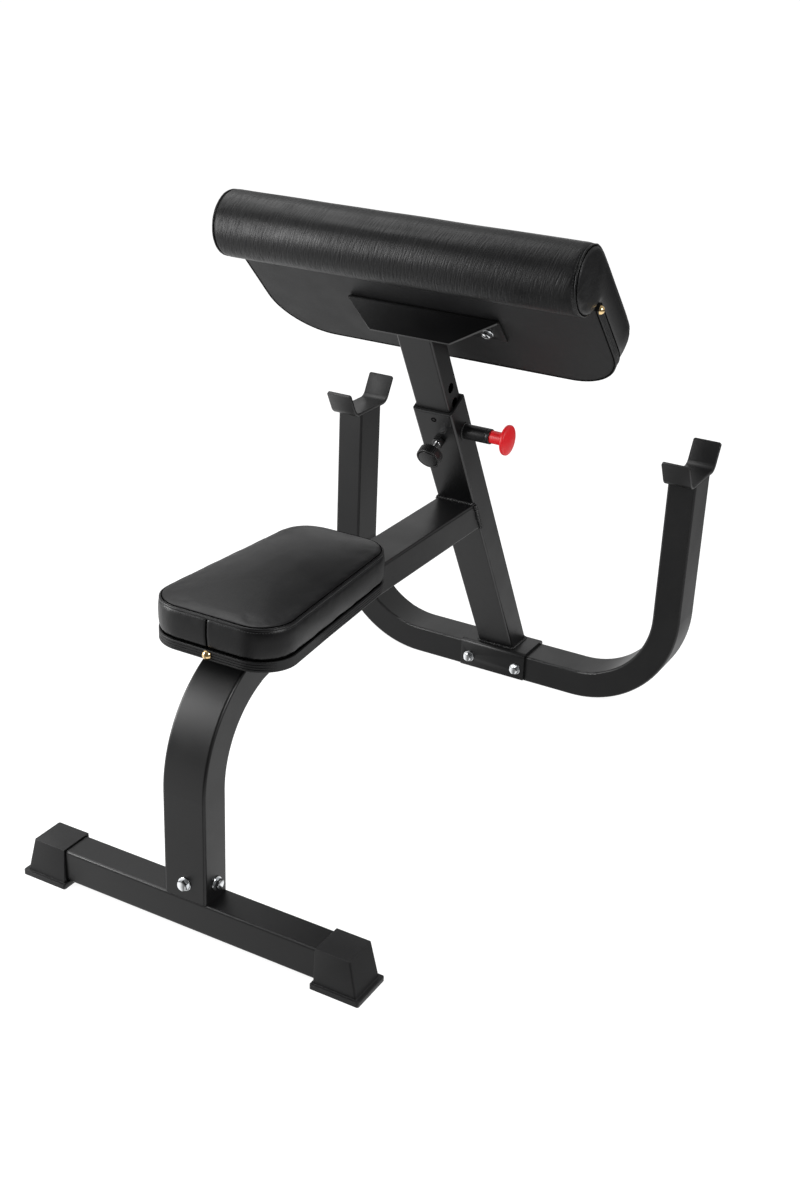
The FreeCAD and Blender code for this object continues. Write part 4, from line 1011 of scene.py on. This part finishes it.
# Hexagon bolts with washers, nuts behind the saddle
bolts = {
    "large": {"across": 14 * mm, "head": 6.4 * mm, "washer": 10.5 * mm, "shank": 5 * mm},
    "small": {"across": 12 * mm, "head": 5.3 * mm, "washer": 10 * mm, "shank": 4 * mm},
    "washerThick": 2 * mm, "washerEdge": 0.9 * mm,
    "shortLength": 16 * mm, "seatLength": 60 * mm, "pastNut": 15 * mm, "nutHeight": 8 * mm,
    "chamfer": math.radians(30), "chamferShare": 0.93, "plainShare": 0.98,
    "dome": 0.7 * mm,
    "domeShares": ((0.75, 0.45), (0.45, 0.8), (0.15, 1.0)),   # (radius, rise) of the pressed head
    "turns": {"post": (12, 40), "saddle": (25, 51), "seat": (10, 33), "pad": (5, 41)},
}


def hexRadius(across, angle):
    return across / 2 / math.cos((angle + math.pi / 6) % (math.pi / 3) - math.pi / 6)


def hexRows(across, low, high, chamferLow, chamferHigh, segments=48):
    # rings up a hexagon, with an end chamfered to a circle, and the top domed if it is the chamfered one
    circle = across / 2 * bolts["chamferShare"]
    rows = []
    for end, chamfered, sign in ((low, chamferLow, 1), (high, chamferHigh, -1)):
        rim, corner = [], []
        for step in range(segments):
            angle = 2 * math.pi * step / segments
            radius = hexRadius(across, angle)
            heading = Vector((math.cos(angle), math.sin(angle), 0))
            fall = (radius - circle) * math.tan(bolts["chamfer"]) if chamfered else 0
            corner.append(heading * radius + upward * (end + sign * fall))
            rim.append(heading * (circle if chamfered else radius * bolts["plainShare"]) + upward * end)
        rows += [rim, corner] if sign > 0 else [corner, rim]
    if chamferHigh:
        middle, topRim = upward * high, rows[-1]
        for share, rise in bolts["domeShares"]:
            lift = upward * (high + bolts["dome"] * rise)
            rows.append([lift + (spot - middle) * share for spot in topRim])
    return rows


def boltModel(kind, length, nutAt=None):
    # washer on the face at zero, head above it, shank below, and a nut on the shank if it passes through
    across, head, wide, shank = [bolts[kind][name] for name in ("across", "head", "washer", "shank")]
    thick, edge = bolts["washerThick"], bolts["washerEdge"]
    washer = filletPath([(shank, 0), (wide, 0, edge), (wide, thick, edge), (shank, thick)], True, 3)
    rod = [(shank * 0.8, -length), (shank, -length + shank * 0.2), (shank, thick)]
    parts = [turnedMesh("washer", washer, Vector(), upward, 48),
             gridMesh("head", hexRows(across, thick, thick + head, False, True)),
             turnedMesh("shank", rod, Vector(), upward, 32)]
    if nutAt:
        top = -nutAt - thick
        parts += [turnedMesh("washer", washer, -upward * nutAt, -upward, 48),
                  gridMesh("nut", hexRows(across, top - bolts["nutHeight"], top, True, False))]
    build = bmesh.new()
    for part in parts:
        build.from_mesh(part)
    mesh = meshFrom(build, "bolt")
    shadeSmooth(mesh)
    return bpy.data.objects.new("bolt", sharpen(mesh, 20))


def fastened(name, groups, finish):
    # one mesh of all the fasteners on a body
    build = bmesh.new()
    for model, stands in groups:
        bpy.context.scene.collection.objects.link(model)
        mesh = grown(name, pointSeed(stands), fastenerTree, {"Fastener": model, "Material": finish})
        build.from_mesh(mesh)
        bpy.data.objects.remove(model)
    return newPiece(name, meshFrom(build, name), finish)


def stand(spot, facing, angle=0):
    # a fastener's place, the way it faces, and a heading square to that, turned about it
    side = facing.orthogonal().normalized()
    return spot, facing, Matrix.Rotation(math.radians(angle), 3, facing) @ side


def makeBolts():
    thick, turns, zinc = bolts["washerThick"], bolts["turns"], finishes["zinc_plate"]
    low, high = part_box("post_washers")
    reach = bolts["large"]["washer"]
    level = high.z - reach
    post = [stand(Vector((0, low.y + thick, level)), rearward, turns["post"][0]),
            stand(Vector((high.x - thick, high.y - reach, level)), rightward, turns["post"][1])]
    low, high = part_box("saddle_washers")
    level = (low.z + high.z) / 2
    saddle = [stand(Vector((side * (high.x - reach), low.y + thick, level)), rearward, angle)
              for side, angle in zip((-1, 1), turns["saddle"])]
    span = high.y - low.y - 2 * thick
    low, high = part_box("seat_washers")
    reach = bolts["small"]["washer"]
    below = [stand(Vector((0, y, high.z)), -upward, angle)
             for y, angle in zip((low.y + reach, high.y - reach), turns["seat"])]
    groups = [(boltModel("large", bolts["shortLength"]), post),
              (boltModel("large", span + bolts["pastNut"], span), saddle),
              (boltModel("small", bolts["seatLength"]), below)]
    settle(fastened("frame_bolts", groups, zinc), "frame", "zinc_plate", "post_bolts", "post_washers",
           "saddle_bolts", "saddle_washers", "saddle_nuts", "seat_bolts", "seat_washers")
    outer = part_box("pad_washers")[1].x - reach
    face = boxMiddle("pad_washers") + padOut * thick / 2
    flange = [stand(Vector((side * outer, face.y, face.z)), -padOut, angle)
              for side, angle in zip((-1, 1), turns["pad"])]
    groups = [(boltModel("small", bolts["shortLength"]), flange)]
    settle(fastened("pad_bolts_finished", groups, zinc), "pad_carriage", "zinc_plate", "pad_bolts",
           "pad_washers")


makeBolts()

# Domed brass nails that close the bindings
nails = {"radius": 7.0 * mm, "dome": 6.0 * mm, "rim": 0.5 * mm, "shank": 1.2 * mm, "length": 12 * mm}


def nailModel():
    radius, rim, shank, length = [nails[name] for name in ("radius", "rim", "shank", "length")]
    profile = [(shank * 0.3, -length), (shank, -length + shank * 2), (shank, 0), (radius - rim, 0),
               (radius, rim / 2), *domeArc(radius, nails["dome"], nails["dome"], (0.8, 0.6, 0.4, 0.2, 0.02))]
    mesh = turnedMesh("nail", profile, Vector(), upward, 40)
    return bpy.data.objects.new("nail", sharpen(mesh, 60))


def makeNails():
    spot = Vector((0, seat["rear"] - binding["thick"], boxMiddle("seat_nail").z))
    groups = [(nailModel(), [stand(spot, rearward)])]
    settle(fastened("seat_nail_finished", groups, finishes["brass"]), "frame", "brass", "seat_nail")
    middle = boxMiddle("pad_nails")
    ends = [stand(Vector((side * armPad["halfWide"], middle.y, middle.z)), rightward * side) for side in (-1, 1)]
    groups = [(nailModel(), ends)]
    settle(fastened("pad_nails_finished", groups, finishes["brass"]), "pad_carriage", "brass", "pad_nails")


makeNails()
print("fasteners done")

# Spring pin: barrel on the sleeve's side and its red pull knob
springPin = {
    "barrelRadius": 12.5 * mm, "barrelRing": 6 * mm, "groove": 0.9 * mm, "mouth": 11.3 * mm, "cup": 14 * mm,
    "soft": 1.0 * mm,
    "neckRadius": 10.5 * mm, "neckRound": 0.8 * mm, "flare": 3.5 * mm,
    "rimRadius": 24.6 * mm, "rim": 7 * mm, "rimRound": 3.2 * mm, "dome": 3.8 * mm,
}


def makeSpringPin():
    low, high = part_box("pin_barrel")
    middle = (low + high) / 2
    length, radius, mouth = high.x - low.x, springPin["barrelRadius"], springPin["mouth"]
    groove, soft = springPin["groove"], springPin["soft"]
    ringStart, cupEnd = length - springPin["barrelRing"], length - springPin["cup"]
    profile = filletPath([
        (radius * 0.7, 0), (radius, 0), (radius, ringStart - groove, soft / 2),
        (radius - groove, ringStart - groove), (radius - groove, ringStart), (radius, ringStart, soft / 2),
        (radius, length, soft), (mouth, length, soft / 2), (mouth, cupEnd), (radius * 0.4, cupEnd)], False, 4)
    mesh = turnedMesh("pin_barrel_finished", profile, Vector((low.x, middle.y, middle.z)), rightward, 72)
    barrel = newPiece("pin_barrel_finished", sharpen(mesh), finishes["black_powder_coat"])
    settle(barrel, "frame", "black_powder_coat", "pin_barrel")
    low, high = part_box("pull_knob")
    length = high.x - low.x
    neck, rim, dome, curve = [springPin[name] for name in ("neckRadius", "rimRadius", "dome", "rimRound")]
    edge = length - dome - springPin["rim"]
    face = domeArc(rim, dome, length, (0.8, 0.7, 0.6, 0.4, 0.2, 0.03))
    profile = filletPath([
        (neck * 0.5, 0), (neck, 0, springPin["neckRound"]), (neck, edge, springPin["flare"]), (rim, edge, curve),
        (rim, length - dome, curve), face[0]], False, 8)
    mesh = turnedMesh("pull_knob_finished", profile + face[1:], Vector((low.x, middle.y, middle.z)),
                      rightward, 96)
    knob = newPiece("pull_knob_finished", sharpen(mesh, 50), finishes["red_plastic"])
    settle(knob, "plunger", "red_plastic", "pull_knob")


makeSpringPin()

# Hand screw on the sleeve's face: stud, threaded inside and plain outside, fluted knob with a plain disc
handScrew = {
    "lean": math.radians(29.5),
    "studRadius": 5 * mm, "pitch": 1.5 * mm, "threadDeep": 0.75 * mm, "threadSteps": 5,
    "plain": 18 * mm,             # smooth part of the stud next to the knob
    "knobRadius": 20 * mm, "knobHeight": 16 * mm, "flutes": 40, "fluteDeep": 0.35 * mm, "fluteSteps": 6,
    "faceRadius": 15.5 * mm, "faceRise": 0.8 * mm, "faceGroove": 1.8 * mm, "round": 1.2 * mm,
    "grooveRounds": (0.3 * mm, 0.2 * mm), "faceRound": 0.6 * mm,
}
sleeveUp = Vector((0, -math.sin(handScrew["lean"]), math.cos(handScrew["lean"])))
sleeveOut = Vector((0, -math.cos(handScrew["lean"]), -math.sin(handScrew["lean"])))


def makeHandScrew():
    out, height, radius = sleeveOut, handScrew["knobHeight"], handScrew["knobRadius"]
    stud, pitch, deep = handScrew["studRadius"], handScrew["pitch"], handScrew["fluteDeep"]
    low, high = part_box("lock_stud")
    tall = high - low
    length = tall.y * abs(out.y) + tall.z * abs(out.z) - 4 * stud * abs(out.y * out.z)
    studStart = boxMiddle("lock_stud") - out * length / 2
    knobStart = boxMiddle("lock_knob") - out * height / 2
    smoothFrom = (knobStart - studStart).dot(out) - handScrew["plain"]
    steps = round(length / (pitch / handScrew["threadSteps"]))

    def threadRadius(reach, along, angle):
        if reach < stud * 0.9 or along > smoothFrom:
            return reach
        turn = (along / pitch - angle / (2 * math.pi)) % 1.0
        return reach - handScrew["threadDeep"] * abs(2 * turn - 1)

    def fluteRadius(reach, along, angle):
        outer = max(0.0, (reach - (radius - 2 * deep)) / (2 * deep))
        return reach - deep * outer * (0.5 + 0.5 * math.cos(handScrew["flutes"] * angle))

    profile = [(stud, length * step / steps) for step in range(steps + 1)]
    profile = [(stud * 0.4, 0), *profile, (stud * 0.4, length)]
    mesh = turnedMesh("lock_stud_finished", profile, studStart, out, 40, threadRadius)
    rod = newPiece("lock_stud_finished", mesh, finishes["chrome_plate"])
    settle(rod, "lock_screw", "chrome_plate", "lock_stud")
    disc, groove, rim = handScrew["faceRadius"], handScrew["faceGroove"], height - handScrew["faceRise"]
    outerRound, innerRound = handScrew["grooveRounds"]
    profile = filletPath([
        (stud * 1.02, 0), (radius, 0, handScrew["round"]), (radius, rim, handScrew["round"]),
        (disc + groove, rim, outerRound), (disc + groove * 0.5, rim - groove), (disc, rim, innerRound),
        (disc, height, handScrew["faceRound"]), (disc * 0.05, height)], False, 5)
    segments = handScrew["flutes"] * handScrew["fluteSteps"]
    mesh = turnedMesh("lock_knob_finished", profile, knobStart, out, segments, fluteRadius)
    knob = newPiece("lock_knob_finished", sharpen(mesh), knobFinish)
    settle(knob, "hand_knob", "black_plastic", "lock_knob")


makeHandScrew()
print("spring pin and hand screw done")

# Weld beads where the tubes and plates are joined, and a painted shade ring round the hole for the bushing's nib
welds = {
    "large": {"size": (4.6 * mm, 8.0 * mm, 8.0 * mm), "step": 2.8 * mm, "seed": 3},
    "small": {"size": (2.8 * mm, 4.6 * mm, 4.6 * mm), "step": 1.9 * mm, "seed": 8},
    "jitter": 0.2, "tubeHalf": 35 * mm, "tubeDeep": 50 * mm, "tubeRound": 4 * mm, "catchEnd": 4 * mm,
}
nib = {"along": 608.5 * mm, "radius": 3.6 * mm, "shadeLine": 0.9 * mm}


def loopOn(origin, sideways, upwards, halfWide, halfTall, corner):
    flat = filletPath([(-halfWide, -halfTall, corner), (halfWide, -halfTall, corner),
                       (halfWide, halfTall, corner), (-halfWide, halfTall, corner)], True, 5)
    return [origin + sideways * point.x + upwards * point.y for point in flat]


def ringOn(origin, sideways, upwards, radius, turn):
    angles = [math.radians(degree) for degree in range(0, 360, turn)]
    return [origin + radius * (sideways * math.cos(angle) + upwards * math.sin(angle)) for angle in angles]


def weld(name, lines, kind):
    bead = welds[kind]
    piece = beads(name, lines, finishes["black_powder_coat"], bead["size"], bead["step"], welds["jitter"],
                  bead["seed"])
    settle(piece, "frame", "black_powder_coat")


def makeWelds():
    half, depth, corner = welds["tubeHalf"], welds["tubeDeep"] / 2, welds["tubeRound"]
    frameMiddle = boxMiddle("u_frame").y
    foot = Vector((0, frameMiddle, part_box("upright")[0].z))
    rearFace = foot + sleeveOut * depth
    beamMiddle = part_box("seat_post_beam")[1].z - depth
    joint = rearFace + sleeveUp * ((beamMiddle - rearFace.z) / sleeveUp.z)
    beamLoop = loopOn(joint, rightward, sleeveUp, half, depth / sleeveUp.z, corner)
    footLoop = loopOn(foot, rightward, -rearward, half, depth / math.cos(handScrew["lean"]), corner)
    weld("frame_welds", [(beamLoop, True), (footLoop, True)], "large")
    # painted shade: a thin near-black ring round the nib's hole
    hole = ringOn(rearFace + sleeveUp * nib["along"], rightward, sleeveUp, nib["radius"], 15)
    settle(piping("nib_edge", [(hole, True)], shadeLineFinish, nib["shadeLine"]), "frame", "black_plastic")
    middle = boxMiddle("pin_barrel")
    barrelFoot = Vector((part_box("pin_barrel")[0].x, middle.y, middle.z))
    lines = [(ringOn(barrelFoot, -rearward, upward, springPin["barrelRadius"], 12), True)]
    for node in ("left_bar_catch", "right_bar_catch"):
        low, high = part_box(node)
        for side in (-1, 1):
            y = frameMiddle + side * half
            ends = (low.x + welds["catchEnd"], high.x - welds["catchEnd"])
            lines.append(([Vector((x, y, low.z)) for x in ends], False))
    weld("small_welds", lines, "small")


makeWelds()
print("welds done")

# Studio: white floor, a surround that dims towards the right and overhead, and soft boxes
studio = {
    "floorHalf": 40.0, "floorColour": "#8C8C8C", "floorGlow": 0.94, "floorRoughness": 0.9,
    # each ramp runs over one part of a direction, between two values of it, from one glow or share to another
    "ramps": {
        "left": ("X", (-0.62, -0.33), (1.25, 0.2)),
        "right": ("Z", (-0.54, -0.26), (1.15, 0.05)),
        "leftToRight": ("X", (-0.2, 0.2), (0.0, 1.0)),
        "under": ("Z", (-0.95, -0.6), (1.25, 1.0)),
        "overhead": ("Y", (-0.7, 0.4), (0.13, 0.48)),
        "belowToAbove": ("Z", (-0.08, 0.08), (0.0, 1.0)),
    },
    "boxes": {
        "front_left": {"azimuth": -46, "elevation": 11, "distance": 1.5, "size": (0.65, 0.75), "radiance": 13.2},
        "left_overhead": {"azimuth": 261, "elevation": 56, "distance": 2.2, "size": (1.7, 1.5), "radiance": 2.6},
        "behind": {"azimuth": 201, "elevation": 13, "distance": 3.4, "size": (1.6, 0.4), "radiance": 1.0},
        "key_right": {"azimuth": 78, "elevation": 28, "distance": 3.2, "size": (1.2, 1.2), "radiance": 12.0},
    },
    "aim": Vector((0, 0, 0.6)),
}
photoCamera = {"azimuth": 28.584, "elevation": 24.676, "roll": 2.389, "place": (1.1217, -2.00545, 1.3692),
               "focal": 1598.3, "imageHeight": 1199, "sensor": 36.0}


def directionFrom(azimuth, elevation):
    a, e = math.radians(azimuth), math.radians(elevation)
    return Vector((math.sin(a) * math.cos(e), -math.cos(a) * math.cos(e), math.sin(e)))


def makeFloor():
    half = studio["floorHalf"]
    mesh = bpy.data.meshes.new("studio_floor")
    mesh.from_pydata([(-half, -half, 0), (half, -half, 0), (half, half, 0), (-half, half, 0)], [],
                     [(0, 1, 2, 3)])
    paper = bpy.data.materials.new("white_paper_sweep")
    paper.use_nodes = True
    paper.node_tree.nodes.clear()
    closeMaterial(paper, {
        "Base Color": hexToLinear(studio["floorColour"]), "Roughness": studio["floorRoughness"],
        "Emission Color": hexToLinear("#FFFFFF"), "Emission Strength": studio["floorGlow"]})
    floor = newPiece("studio_floor", mesh, paper)
    floor.visible_glossy = False
    floor.visible_diffuse = False


def makeSurround():
    world = bpy.data.worlds.new("studio")
    world.use_nodes = True
    tree = world.node_tree
    heading = addNode(tree, "ShaderNodeSeparateXYZ", {
        "Vector": addNode(tree, "ShaderNodeTexCoord").outputs["Generated"]}).outputs
    ramps = {name: addNode(tree, "ShaderNodeMapRange", (heading[part], *limits, *ends)).outputs["Result"]
             for name, (part, limits, ends) in studio["ramps"].items()}
    sides = addNode(tree, "ShaderNodeMix", {0: ramps["leftToRight"], 2: ramps["left"], 3: ramps["right"]})
    below = addNode(tree, "ShaderNodeMath", (sides.outputs[0], ramps["under"]), operation="MULTIPLY")
    whole = addNode(tree, "ShaderNodeMix", {
        0: ramps["belowToAbove"], 2: below.outputs[0], 3: ramps["overhead"]})
    background = tree.nodes["Background"]
    tree.links.new(whole.outputs[0], background.inputs["Strength"])
    background.inputs["Color"].default_value = hexToLinear("#FFFFFF")
    bpy.context.scene.world = world
    bpy.context.scene.view_settings.view_transform = "Standard"


def makeSoftBoxes():
    for name, box in studio["boxes"].items():
        lamp = bpy.data.lights.new(name, "AREA")
        lamp.shape = "RECTANGLE"
        lamp.size, lamp.size_y = box["size"]
        lamp.energy = box["radiance"] * math.pi * lamp.size * lamp.size_y
        holder = bpy.data.objects.new(name, lamp)
        direction = directionFrom(box["azimuth"], box["elevation"])
        holder.location = studio["aim"] + direction * box["distance"]
        holder.rotation_euler = direction.to_track_quat("Z", "Y").to_euler()
        holder.visible_camera = False
        bpy.context.scene.collection.objects.link(holder)


def makeCamera():
    lens = bpy.data.cameras.new("photo_camera")
    lens.sensor_width = photoCamera["sensor"]
    lens.lens = photoCamera["focal"] / photoCamera["imageHeight"] * photoCamera["sensor"]
    holder = bpy.data.objects.new("photo_camera", lens)
    back = directionFrom(photoCamera["azimuth"], photoCamera["elevation"])
    level = (-back).cross(upward).normalized()
    upright = level.cross(-back)
    roll = math.radians(photoCamera["roll"])
    right = level * math.cos(roll) + upright * math.sin(roll)
    up = upright * math.cos(roll) - level * math.sin(roll)
    turn = Matrix((right, up, back)).transposed().to_4x4()
    holder.matrix_world = Matrix.Translation(photoCamera["place"]) @ turn
    bpy.context.scene.collection.objects.link(holder)
    bpy.context.scene.camera = holder


makeFloor()
makeSurround()
makeSoftBoxes()
makeCamera()
